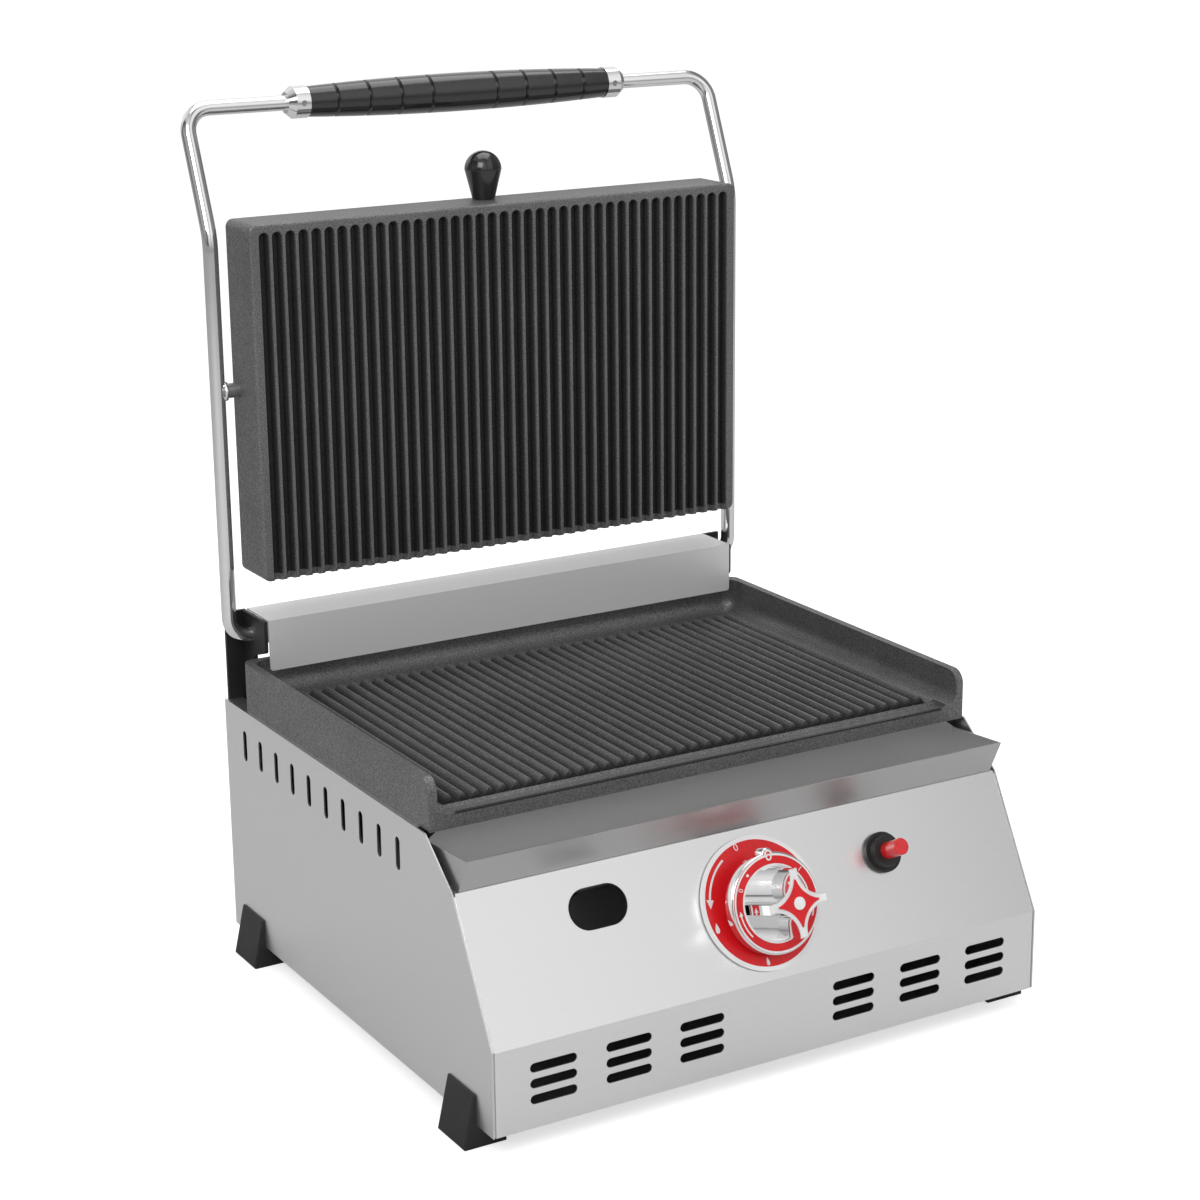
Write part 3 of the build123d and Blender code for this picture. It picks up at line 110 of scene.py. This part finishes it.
def bump(tree, bsdf, height, distance, strength=1.0):
    node = add_node(tree, "ShaderNodeBump")
    node.inputs["Distance"].default_value = distance
    node.inputs["Strength"].default_value = strength
    tree.links.new(height, node.inputs["Height"])
    tree.links.new(node.outputs["Normal"], bsdf.inputs["Normal"])


def brushed(name, grey, roughness, stretch, metallic=1.0):
    """Brushed sheet: fine lines along one axis in colour, roughness and bump."""
    material, tree, bsdf = new_material(name)
    lines = noise(tree, 3500, 2.0, stretch)
    tree.links.new(ramp(tree, lines, [(0.3, grey - 0.015), (0.7, grey + 0.015)]), bsdf.inputs["Base Color"])
    tree.links.new(
        ramp(tree, lines, [(0.3, roughness - 0.02), (0.7, roughness + 0.02)]), bsdf.inputs["Roughness"]
    )
    bsdf.inputs["Metallic"].default_value = metallic
    bump(tree, bsdf, lines, 0.004 * MM, 0.2)
    return material


def inside(tree, value, low, high):
    """One where the value lies between two limits in metres."""
    over = add_node(tree, "ShaderNodeMath", operation="GREATER_THAN")
    under = add_node(tree, "ShaderNodeMath", operation="LESS_THAN")
    both = add_node(tree, "ShaderNodeMath", operation="MULTIPLY")
    over.inputs[1].default_value = low
    under.inputs[1].default_value = high
    tree.links.new(value, over.inputs[0])
    tree.links.new(value, under.inputs[0])
    tree.links.new(over.outputs["Value"], both.inputs[0])
    tree.links.new(under.outputs["Value"], both.inputs[1])
    return both.outputs["Value"]


def painted_groove_shade(tree, axis, low, high, stops):
    """Painted shade in the grooves, by depth along an axis, inside a box of the piece; the rib tops keep the
    plain colour.
    """
    place = add_node(tree, "ShaderNodeTexCoord")
    split = add_node(tree, "ShaderNodeSeparateXYZ")
    tree.links.new(place.outputs["Object"], split.inputs["Vector"])
    mask = None
    for name, start, end in zip("XYZ", low, high):
        here = inside(tree, split.outputs[name], start, end)
        if mask:
            join = add_node(tree, "ShaderNodeMath", operation="MULTIPLY")
            tree.links.new(mask, join.inputs[0])
            tree.links.new(here, join.inputs[1])
            here = join.outputs["Value"]
        mask = here
    depth = add_node(tree, "ShaderNodeMapRange")
    depth.inputs["From Min"].default_value = low["XYZ".index(axis)]
    depth.inputs["From Max"].default_value = high["XYZ".index(axis)]
    tree.links.new(split.outputs[axis], depth.inputs["Value"])
    shade = add_node(tree, "ShaderNodeMix", data_type="RGBA")
    tree.links.new(mask, shade.inputs["Factor"])
    shade.inputs["A"].default_value = (1, 1, 1, 1)
    tree.links.new(ramp(tree, depth.outputs["Result"], stops), shade.inputs["B"])
    return shade.outputs["Result"]


def multiply(tree, first, second):
    mix = add_node(tree, "ShaderNodeMix", data_type="RGBA", blend_type="MULTIPLY")
    mix.inputs["Factor"].default_value = 1.0
    tree.links.new(first, mix.inputs["A"])
    tree.links.new(second, mix.inputs["B"])
    return mix.outputs["Result"]


def cast_iron(name, dark, light, axis, low, high, stops):
    """Sand cast iron: fine grain in colour and bump, with painted shade between its ribs."""
    material, tree, bsdf = new_material(name)
    grain = noise(tree, 1100, 4.0)
    cloud = noise(tree, 25, 3.0)
    iron = multiply(
        tree,
        ramp(tree, grain, [(0.3, dark), (0.55, (dark + light) / 2), (0.75, light)]),
        ramp(tree, cloud, [(0.3, 0.85), (0.7, 1.0)]),
    )
    # painted shade: the iron colour is multiplied darker in the grooves between the ribs
    tree.links.new(multiply(tree, iron, painted_groove_shade(tree, axis, low, high, stops)), bsdf.inputs["Base Color"])
    tree.links.new(ramp(tree, grain, [(0.35, 0.56), (0.7, 0.4)]), bsdf.inputs["Roughness"])
    bsdf.inputs["Metallic"].default_value = 0.6
    bump(tree, bsdf, grain, 0.22 * MM, 0.5)
    return material


def chrome(name, grey=0.86, roughness=0.06):
    material, tree, bsdf = new_material(name)
    wear = noise(tree, 60, 3.0)
    tree.links.new(ramp(tree, wear, [(0.3, grey - 0.03), (0.7, grey)]), bsdf.inputs["Base Color"])
    tree.links.new(ramp(tree, wear, [(0.3, roughness), (0.7, roughness + 0.04)]), bsdf.inputs["Roughness"])
    bsdf.inputs["Metallic"].default_value = 1.0
    return material


def plastic(name, colour, roughness, grain=0.0, coat=0.0):
    """Moulded plastic or paint: slight mottling, optional grain, optional gloss coat."""
    material, tree, bsdf = new_material(name)
    mottle = noise(tree, 120, 3.0)
    darker = tuple(channel * 0.85 for channel in colour)
    tree.links.new(ramp(tree, mottle, [(0.3, darker), (0.7, colour)]), bsdf.inputs["Base Color"])
    tree.links.new(ramp(tree, mottle, [(0.3, roughness), (0.7, roughness + 0.06)]), bsdf.inputs["Roughness"])
    bsdf.inputs["Coat Weight"].default_value = coat
    bsdf.inputs["Coat Roughness"].default_value = 0.08
    if grain:
        bump(tree, bsdf, noise(tree, 1500, 2.0), grain * MM, 0.5)
    return material


def turned(name, colour, roughness):
    """Turned or drawn metal with faint tool marks."""
    material, tree, bsdf = new_material(name)
    marks = noise(tree, 700, 2.0)
    darker = tuple(channel * 0.8 for channel in colour)
    tree.links.new(ramp(tree, marks, [(0.3, darker), (0.7, colour)]), bsdf.inputs["Base Color"])
    tree.links.new(ramp(tree, marks, [(0.3, roughness), (0.7, roughness + 0.1)]), bsdf.inputs["Roughness"])
    bsdf.inputs["Metallic"].default_value = 1.0
    bump(tree, bsdf, marks, 0.03 * MM, 0.4)
    return material


def rimmed_red(name, red, white_beyond):
    """Printed red disc with a white rim beyond a radius from the dial's middle."""
    material, tree, bsdf = new_material(name)
    place = add_node(tree, "ShaderNodeTexCoord")
    distance = add_node(tree, "ShaderNodeVectorMath", operation="DISTANCE")
    distance.inputs[1].default_value = DIAL_MIDDLE
    tree.links.new(place.outputs["Object"], distance.inputs[0])
    beyond = add_node(tree, "ShaderNodeMath", operation="GREATER_THAN")
    beyond.inputs[1].default_value = white_beyond * MM
    tree.links.new(distance.outputs["Value"], beyond.inputs[0])
    ink = noise(tree, 300, 2.0)
    darker = tuple(channel * 0.9 for channel in red)
    mix = add_node(tree, "ShaderNodeMix", data_type="RGBA")
    tree.links.new(beyond.outputs["Value"], mix.inputs["Factor"])
    tree.links.new(ramp(tree, ink, [(0.3, darker), (0.7, red)]), mix.inputs["A"])
    mix.inputs["B"].default_value = (0.85, 0.85, 0.85, 1)
    tree.links.new(mix.outputs["Result"], bsdf.inputs["Base Color"])
    bsdf.inputs["Roughness"].default_value = 0.35
    return material


ALONG_X = (0.02, 1, 1)
ALONG_Y = (1, 0.02, 1)
DIAL_RIM_RADIUS = 39.4
RED = (0.72, 0.006, 0.012)
sheet_front = brushed("stainless_front", 0.88, 0.3, ALONG_X)
sheet_side = brushed("stainless_side", 0.78, 0.36, ALONG_Y)
# painted shade: the tray's stainless is given a darker grey than the other stainless panels
tray_sheet_painted_shade = brushed("stainless_tray_painted_shade", 0.56, 0.42, ALONG_X)
sheet_cover = brushed("stainless_cover", 0.78, 0.45, ALONG_X, metallic=0.55)
sheet_inner = brushed("plain_steel_inner", 0.4, 0.45, ALONG_X)
IRON_DARK = 0.1
IRON_LIGHT = 0.3

# Boxes that hold the upper plate's grooves and the lower plate's ribs, where painted shade darkens the
# hollows
UPPER_ZONE_HALF = 0.181
GROOVE_DEPTH = 0.0046
GROOVE_START = 0.0002
GROOVE_MARGIN = 0.0045
RIB_FACE = nodes["upper_plate"].bound_box[0][1]
PLATE_LOW = nodes["upper_plate"].bound_box[0][2]
PLATE_HIGH = nodes["upper_plate"].bound_box[1][2]
iron_upper = cast_iron(
    "cast_iron_upper",
    IRON_DARK,
    IRON_LIGHT,
    "Y",
    (-UPPER_ZONE_HALF, RIB_FACE - GROOVE_START, PLATE_LOW + GROOVE_MARGIN),
    (UPPER_ZONE_HALF, RIB_FACE + GROOVE_DEPTH, PLATE_HIGH - GROOVE_MARGIN),
    # painted shade: full colour at the rib faces, darker deeper into the grooves
    [(0.0, 1.0), (0.06, 1.0), (0.3, 0.3), (1.0, 0.12)],
)
LOWER_ZONE_HALF = 0.18
RIB_FRONT = -0.14
RIB_REAR = 0.135
RIB_BASE = 0.1873
RIB_RISE = 0.0054
iron_lower = cast_iron(
    "cast_iron_lower",
    IRON_DARK,
    IRON_LIGHT,
    "Z",
    (-LOWER_ZONE_HALF, RIB_FRONT, RIB_BASE),
    (LOWER_ZONE_HALF, RIB_REAR, RIB_BASE + RIB_RISE),
    # painted shade: darkest at the rib bases, full colour at the rib tops
    [(0.0, 0.15), (0.5, 0.45), (0.85, 1.0), (1.0, 1.0)],
)
rod_chrome = chrome("chrome_rod")
knob_chrome = chrome("chrome_knob", 0.88, 0.04)
gloss_black = plastic("gloss_black", (0.012, 0.012, 0.012), 0.18, coat=0.6)
satin_black = plastic("satin_black_paint", (0.01, 0.01, 0.011), 0.5, grain=0.04)
foot_black = plastic("foot_black", (0.012, 0.012, 0.013), 0.5, grain=0.05)
bezel_black = plastic("bezel_black", (0.012, 0.012, 0.012), 0.4)
button_red = plastic("button_red", (0.68, 0.012, 0.016), 0.25, coat=0.4)
ink_red = plastic("ink_red", RED, 0.32)
ink_white = plastic("ink_white", (0.85, 0.85, 0.85), 0.35)
dial_print = rimmed_red("dial_print", RED, DIAL_RIM_RADIUS)
brass = turned("turned_brass", (0.72, 0.5, 0.2), 0.3)
bare_steel = turned("bare_steel", (0.45, 0.45, 0.46), 0.35)
zinc_steel = turned("zinc_steel", (0.6, 0.6, 0.62), 0.3)
pipe_metal = turned("drawn_tube", (0.65, 0.65, 0.66), 0.3)
glazed_white = plastic("glazed_white", (0.8, 0.79, 0.75), 0.2, coat=0.5)
lead_rubber = plastic("lead_rubber", (0.2, 0.2, 0.2), 0.5)

# What each node is made of; the rest is bare steel
MATERIAL_ROWS = [
    (sheet_front, "front_panel"),
    (sheet_cover, "hinge_cover"),
    (sheet_side, "side_panel_left side_panel_right"),
    (tray_sheet_painted_shade, "grease_tray"),
    (
        sheet_inner,
        "base_pan rear_panel heat_shield burner_support_front "
        "burner_support_rear burner_left burner_right",
    ),
    (iron_upper, "upper_plate"),
    (iron_lower, "lower_plate"),
    (rod_chrome, "handle_frame grip_collar_left grip_collar_right"),
    (gloss_black, "handle_grip pear_knob"),
    (satin_black, "hinge_bracket_left hinge_bracket_right"),
    (foot_black, "foot_front_left foot_front_right foot_rear_left foot_rear_right"),
    (bezel_black, "igniter_body hinge_bush_left hinge_bush_right"),
    (button_red, "igniter_button"),
    (dial_print, "dial_plate"),
    (knob_chrome, "knob_body"),
    (ink_red, "knob_ring knob_star_inlay"),
    (ink_white, "knob_centre_dot"),
    (brass, "gas_valve_body valve_plunger injectors gas_inlet riser_nut"),
    (pipe_metal, "feed_pipe supply_pipe thermocouple"),
    (glazed_white, "spark_electrode"),
    (lead_rubber, "ignition_lead"),
    (zinc_steel, "rear_panel_screws foot_screws bracket_bolts"),
]
node_materials = {name: material for material, names in MATERIAL_ROWS for name in names.split()}
for name, node in nodes.items():
    material = node_materials.get(name, bare_steel)
    node.data.materials.clear()
    node.data.materials.append(material)


# Marks printed on the dial and the knob


def turn_point(radius, degrees):
    """A flat point this many degrees clockwise from the top."""
    angle = math.radians(degrees)
    return (radius * math.sin(angle), radius * math.cos(angle))


def add_ribbon(bm, outward, inner, outer, out, closed):
    """A thin band between two outlines, standing on the plane at height out."""
    rows = []
    for near, far in zip(inner, outer):
        corners = [(near, out), (far, out), (far, out + PRINT), (near, out + PRINT)]
        rows.append([bm.verts.new(flat_point(outward, *flat, height)) for flat, height in corners])
    for i in range(len(rows) if closed else len(rows) - 1):
        here, there = rows[i], rows[(i + 1) % len(rows)]
        for k in range(4):
            bm.faces.new((here[k], here[(k + 1) % 4], there[(k + 1) % 4], there[k]))
    if not closed:
        bm.faces.new(rows[0])
        bm.faces.new(rows[-1])


def add_plate(bm, outward, outline, out):
    """A thin plate with this outline."""
    low = [bm.verts.new(flat_point(outward, *flat, out)) for flat in outline]
    high = [bm.verts.new(flat_point(outward, *flat, out + PRINT)) for flat in outline]
    bm.faces.new(low)
    bm.faces.new(high)
    for i in range(len(low)):
        j = (i + 1) % len(low)
        bm.faces.new((low[i], low[j], high[j], high[i]))


def add_arc(bm, outward, radius, width, start, end, out):
    """A printed arc from start to end degrees."""
    steps = max(6, int(abs(end - start) / 4))
    angles = [start + (end - start) * i / steps for i in range(steps + 1)]
    inner = [turn_point(radius - width / 2, angle) for angle in angles]
    outer = [turn_point(radius + width / 2, angle) for angle in angles]
    add_ribbon(bm, outward, inner, outer, out, False)


def add_arrow_head(bm, outward, radius, width, angle, sense, out):
    """An arrow head on that radius; sense is 1 for clockwise."""
    length = width * 1.1
    lead = math.degrees(length / radius) * sense
    tip = turn_point(radius, angle + lead)
    corners = [turn_point(radius - width / 2, angle), turn_point(radius + width / 2, angle)]
    add_plate(bm, outward, [corners[0], corners[1], tip], out)


def circle_points(middle, radius, steps=32):
    return [
        (
            middle[0] + radius * math.cos(2 * math.pi * i / steps),
            middle[1] + radius * math.sin(2 * math.pi * i / steps),
        )
        for i in range(steps)
    ]


def add_drop(bm, outward, middle, size, out):
    """A plain drop with its tip up, for a burner level."""
    steps = 24
    outline = []
    for i in range(steps):
        angle = 2 * math.pi * i / steps
        narrow = math.sin(angle / 2) ** 1.4
        outline.append(
            (middle[0] + size * 0.62 * math.sin(angle) * narrow, middle[1] + size * math.cos(angle))
        )
    add_plate(bm, outward, outline, out)


def finish_mesh(bm, name, material, body, smooth=False):
    """Closes a bmesh into a piece that rides on a body."""
    bmesh.ops.recalc_face_normals(bm, faces=bm.faces)
    mesh = bpy.data.meshes.new(name)
    bm.to_mesh(mesh)
    bm.free()
    mesh.materials.append(material)
    for face in mesh.polygons:
        face.use_smooth = smooth
    piece = bpy.data.objects.new(name, mesh)
    bpy.context.scene.collection.objects.link(piece)
    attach(piece, body)
    return piece


def printed_digit(outward, text, size, middle, out, turn):
    """A digit's mesh, on the face or the knob."""
    curve = bpy.data.curves.new("digit", "FONT")
    curve.body = text
    curve.size = size * MM
    curve.align_x = "CENTER"
    curve.align_y = "CENTER"
    curve.extrude = PRINT * MM / 2
    holder = bpy.data.objects.new("digit", curve)
    bpy.context.scene.collection.objects.link(holder)
    bpy.context.view_layer.update()
    mesh = bpy.data.meshes.new_from_object(holder.evaluated_get(bpy.context.evaluated_depsgraph_get()))
    bpy.data.objects.remove(holder)
    basis = Matrix((RIGHT, outward.cross(RIGHT), outward)).transposed().to_4x4()
    place = Matrix.Translation(flat_point(outward, *middle, out + PRINT / 2))
    mesh.transform(place @ basis @ Matrix.Rotation(-math.radians(turn), 4, "Z"))
    return mesh


# Heights over the control face, and radii, in millimetres
PRINT = 0.12
DIAL_TOP = 2.5
DIAL_MARKS = 36.0
DIAL_DIGIT = 37.0
RING_TOP = 20.1
RING_MARKS = 26.6
DIGIT_SIZE = 4.6
RING_INNER = 23.1
RING_OUTER = 30.1
POINTER_OUT = 30.0
POINTER_FLAT = 3.0
POINTER_MARK_INSET = 1.6
POINTER_MARK_BORE = 1.1
POINTER_MARK_RADIUS = 2.1
RIM_LINE = 1.1
STAR_TOP = 44.5

bm = bmesh.new()
add_arc(bm, FACE_OUT, DIAL_MARKS, 1.3, -32, -76, DIAL_TOP)
add_arrow_head(bm, FACE_OUT, DIAL_MARKS, 5.0, -76, -1, DIAL_TOP)
add_drop(bm, FACE_OUT, turn_point(DIAL_MARKS, -104), 3.3, DIAL_TOP)
add_drop(bm, FACE_OUT, turn_point(DIAL_MARKS, -170), 2.6, DIAL_TOP)
bm.from_mesh(printed_digit(FACE_OUT, "0", 6.5, turn_point(DIAL_DIGIT, -12), DIAL_TOP, -12))
finish_mesh(bm, "dial_marks", ink_white, "body")


def rim_radius(angle, base, bulge):
    """Radius of the knob's edge, with the bump of the pointer at the top."""
    side = POINTER_OUT * math.sin(angle)
    if abs(side) < bulge and math.cos(angle) > 0:
        return max(base, POINTER_OUT * math.cos(angle) + math.sqrt(bulge**2 - side**2))
    return base


def edge_points(base, bulge, steps=180):
    angles = [2 * math.pi * i / steps for i in range(steps)]
    return [
        (rim_radius(a, base, bulge) * math.sin(a), rim_radius(a, base, bulge) * math.cos(a)) for a in angles
    ]


bm = bmesh.new()
outer = edge_points(RING_OUTER, POINTER_FLAT)
inner = edge_points(RING_OUTER - RIM_LINE, POINTER_FLAT - RIM_LINE)
add_ribbon(bm, KNOB_OUT, inner, outer, RING_TOP, True)
inner = edge_points(RING_INNER, 0)
outer = edge_points(RING_INNER + RIM_LINE, 0)
add_ribbon(bm, KNOB_OUT, inner, outer, RING_TOP, True)
pointer_mark = (0, POINTER_OUT - POINTER_MARK_INSET)
inner = circle_points(pointer_mark, POINTER_MARK_BORE)
outer = circle_points(pointer_mark, POINTER_MARK_RADIUS)
add_ribbon(bm, KNOB_OUT, inner, outer, RING_TOP, True)
add_arc(bm, KNOB_OUT, RING_MARKS, 0.9, -128, -96, RING_TOP)
add_arrow_head(bm, KNOB_OUT, RING_MARKS, 2.8, -96, 1, RING_TOP)
add_arc(bm, KNOB_OUT, RING_MARKS, 0.9, 96, 118, RING_TOP)
add_plate(bm, KNOB_OUT, circle_points(turn_point(RING_MARKS, -40), 0.9), RING_TOP)
bm.from_mesh(printed_digit(KNOB_OUT, "0", DIGIT_SIZE, turn_point(RING_MARKS, -62), RING_TOP, -62))
bm.from_mesh(printed_digit(KNOB_OUT, "1", DIGIT_SIZE, turn_point(RING_MARKS, 50), RING_TOP, 50))
finish_mesh(bm, "knob_ring_marks", ink_white, "knob")


def arc_through(start, middle, end, steps):
    """Points on the circle through three flat points."""
    a, b, c = (Vector((*p, 0)) for p in (start, middle, end))
    ab, ac = b - a, c - a
    normal = ab.cross(ac)
    centre = a + (normal.cross(ab) * ac.length_squared + ac.cross(normal) * ab.length_squared) / (
        2 * normal.length_squared
    )
    first, last = a - centre, c - centre
    sweep = first.angle(last)
    sense = 1 if first.cross(last).z > 0 else -1
    points = []
    for i in range(steps + 1):
        spun = Matrix.Rotation(sense * sweep * i / steps, 3, "Z") @ first
        points.append(((centre + spun).x, (centre + spun).y))
    return points


def star_outline(reach, tip, waist, steps=14):
    """Four points with hollow sides."""
    half = tip / 2
    hollow = waist / math.sqrt(2)
    outline = []
    for turn in range(4):
        spin = Matrix.Rotation(math.pi / 2 * turn, 2)
        near, mid, far = (spin @ Vector(p) for p in ((reach, half), (hollow, hollow), (half, reach)))
        outline += arc_through(near, mid, far, steps)
    return outline


STAR_REACH = 21.0
STAR_TIP = 6.0
STAR_WAIST = 10.4
STAR_EDGE = 0.9
INLAY_REACH = 14.5
INLAY_TIP = 0.8
INLAY_WAIST = 7.8
bm = bmesh.new()
inner = star_outline(INLAY_REACH, INLAY_TIP, INLAY_WAIST)
outer = star_outline(STAR_REACH - STAR_EDGE, STAR_TIP - 2 * STAR_EDGE, STAR_WAIST - STAR_EDGE)
add_ribbon(bm, KNOB_OUT, inner, outer, STAR_TOP, True)
finish_mesh(bm, "knob_star_border", ink_white, "knob")

# Weld beads where the pivot pins meet the rod
PIN_PLACE = Vector(joints["upper_plate_tilt"]["pos_m"])
BEAD_RADIUS = 5.4
BEAD_THICK = 1.5
BEAD_INSET = 4.6
ROD_RADIUS = 5.0
ROD_X = nodes["handle_frame"].bound_box[4][0] / MM - ROD_RADIUS


def weld_bead(side, name):
    """A lumpy ring round the pin, at the rod's inner side."""
    around, section = 40, 10
    bm = bmesh.new()
    rings = []
    for i in range(around):
        angle = 2 * math.pi * i / around
        lump = 1 + 0.16 * math.sin(5 * angle + side) + 0.1 * math.sin(11 * angle)
        ring = []
        for k in range(section):
            turn = 2 * math.pi * k / section
            radius = BEAD_RADIUS + BEAD_THICK * lump * math.cos(turn) * 0.8
            across = side * (ROD_X - BEAD_INSET + BEAD_THICK * lump * math.sin(turn))
            ring.append(
                bm.verts.new(
                    PIN_PLACE + Vector((across, radius * math.cos(angle), radius * math.sin(angle))) * MM
                )
            )
        rings.append(ring)
    for i in range(around):
        for k in range(section):
            here, there = rings[i], rings[(i + 1) % around]
            bm.faces.new((here[k], here[(k + 1) % section], there[(k + 1) % section], there[k]))
    finish_mesh(bm, name, rod_chrome, "lid", smooth=True)


weld_bead(-1, "weld_bead_left")
weld_bead(1, "weld_bead_right")


# Studio: floor, background, lamps


def background_material():
    """Pale floor that is white to the camera and keeps the soft shadow under the object."""
    material, tree, bsdf = new_material("floor_white")
    mottle = noise(tree, 3, 2.0)
    path = add_node(tree, "ShaderNodeLightPath")
    pale = add_node(tree, "ShaderNodeMix", data_type="RGBA")
    tree.links.new(path.outputs["Is Glossy Ray"], pale.inputs["Factor"])
    tree.links.new(ramp(tree, mottle, [(0.3, 0.78), (0.7, 0.8)]), pale.inputs["A"])
    pale.inputs["B"].default_value = (MIRRORED_FLOOR, MIRRORED_FLOOR, MIRRORED_FLOOR, 1)
    tree.links.new(pale.outputs["Result"], bsdf.inputs["Base Color"])
    bsdf.inputs["Roughness"].default_value = 0.9
    lift = add_node(tree, "ShaderNodeMath", operation="MULTIPLY")
    lift.inputs[1].default_value = FLOOR_LIFT
    tree.links.new(path.outputs["Is Camera Ray"], lift.inputs[0])
    bsdf.inputs["Emission Color"].default_value = (1, 1, 1, 1)
    tree.links.new(lift.outputs["Value"], bsdf.inputs["Emission Strength"])
    return material


FLOOR_LIFT = 0.6
MIRRORED_FLOOR = 0.58
FLOOR_HALF = 30.0
bm = bmesh.new()
corners = [(-1, -1), (1, -1), (1, 1), (-1, 1)]
bm.faces.new([bm.verts.new((x * FLOOR_HALF, y * FLOOR_HALF, 0)) for x, y in corners])
mesh = bpy.data.meshes.new("floor")
bm.to_mesh(mesh)
bm.free()
mesh.materials.append(background_material())
floor = bpy.data.objects.new("floor", mesh)
bpy.context.scene.collection.objects.link(floor)


def make_world():
    """White to the camera, softer as light, and a bright room with darker sides in mirrors."""
    world = bpy.data.worlds.new("studio")
    bpy.context.scene.world = world
    world.use_nodes = True
    tree = world.node_tree
    back = tree.nodes["Background"]
    path = add_node(tree, "ShaderNodeLightPath")
    place = add_node(tree, "ShaderNodeTexCoord")
    split = add_node(tree, "ShaderNodeSeparateXYZ")
    tree.links.new(place.outputs["Generated"], split.inputs["Vector"])
    across = add_node(tree, "ShaderNodeMapRange")
    across.inputs["From Min"].default_value = -1
    tree.links.new(split.outputs["X"], across.inputs["Value"])
    sides = ramp(tree, across.outputs["Result"], ROOM_SIDES)
    height = ramp(tree, split.outputs["Z"], ROOM_HEIGHTS)
    room = add_node(tree, "ShaderNodeMix", data_type="RGBA", blend_type="MULTIPLY")
    room.inputs["Factor"].default_value = 1.0
    tree.links.new(sides, room.inputs["A"])
    tree.links.new(height, room.inputs["B"])
    mirrored = add_node(tree, "ShaderNodeMix", data_type="RGBA")
    tree.links.new(path.outputs["Is Glossy Ray"], mirrored.inputs["Factor"])
    mirrored.inputs["A"].default_value = (ROOM_LIGHT, ROOM_LIGHT, ROOM_LIGHT, 1)
    tree.links.new(room.outputs["Result"], mirrored.inputs["B"])
    seen = add_node(tree, "ShaderNodeMath", operation="ADD", use_clamp=True)
    tree.links.new(path.outputs["Is Camera Ray"], seen.inputs[0])
    tree.links.new(path.outputs["Is Transmission Ray"], seen.inputs[1])
    shown = add_node(tree, "ShaderNodeMix", data_type="RGBA")
    tree.links.new(seen.outputs["Value"], shown.inputs["Factor"])
    tree.links.new(mirrored.outputs["Result"], shown.inputs["A"])
    shown.inputs["B"].default_value = (1, 1, 1, 1)
    tree.links.new(shown.outputs["Result"], back.inputs["Color"])


# Brightness of the mirrored room from left to right, and from the horizon up
ROOM_SIDES = [
    (0.0, 0.5),
    (0.14, 0.08),
    (0.22, 0.95),
    (0.46, 1.0),
    (0.5, 0.1),
    (0.54, 1.0),
    (0.76, 1.0),
    (0.82, 0.25),
]
ROOM_HEIGHTS = [(0.0, 0.5), (0.1, 0.7), (0.3, 1.0), (0.7, 0.9), (1.0, 0.4)]
ROOM_LIGHT = 0.55
make_world()


def soft_lamp(name, place, target, size, power):
    """A square soft box that faces its target."""
    data = bpy.data.lights.new(name, "AREA")
    data.shape = "SQUARE"
    data.size = size
    data.energy = power
    lamp = bpy.data.objects.new(name, data)
    lamp.location = place
    lamp.rotation_euler = (Vector(target) - Vector(place)).to_track_quat("-Z", "Y").to_euler()
    bpy.context.scene.collection.objects.link(lamp)
    return lamp


LAMP_TARGET = (0, 0, 0.25)
soft_lamp("key", (-1.6, -1.4, 1.9), LAMP_TARGET, 1.4, 26)
fill = soft_lamp("fill", (1.9, -1.2, 1.2), LAMP_TARGET, 1.2, 9)
fill.visible_glossy = False
soft_lamp("top", (0.2, 0.4, 2.2), LAMP_TARGET, 1.6, 16)

# Camera
camera_data = bpy.data.cameras.new("camera")
camera_data.lens = CAMERA_LENS
camera_data.sensor_width = SENSOR
camera = bpy.data.objects.new("camera", camera_data)
bpy.context.scene.collection.objects.link(camera)
forward = Vector(
    (
        math.sin(CAMERA_YAW) * math.cos(CAMERA_PITCH),
        math.cos(CAMERA_YAW) * math.cos(CAMERA_PITCH),
        math.sin(CAMERA_PITCH),
    )
)
level = Vector((math.cos(CAMERA_YAW), -math.sin(CAMERA_YAW), 0))
above = level.cross(forward)
sideways = math.cos(CAMERA_ROLL) * level + math.sin(CAMERA_ROLL) * above
upright = -math.sin(CAMERA_ROLL) * level + math.cos(CAMERA_ROLL) * above
camera.matrix_world = Matrix.Translation(CAMERA_PLACE) @ (
    Matrix((sideways, upright, -forward)).transposed().to_4x4()
)
bpy.context.scene.camera = camera
bpy.context.scene.view_settings.view_transform = "Standard"
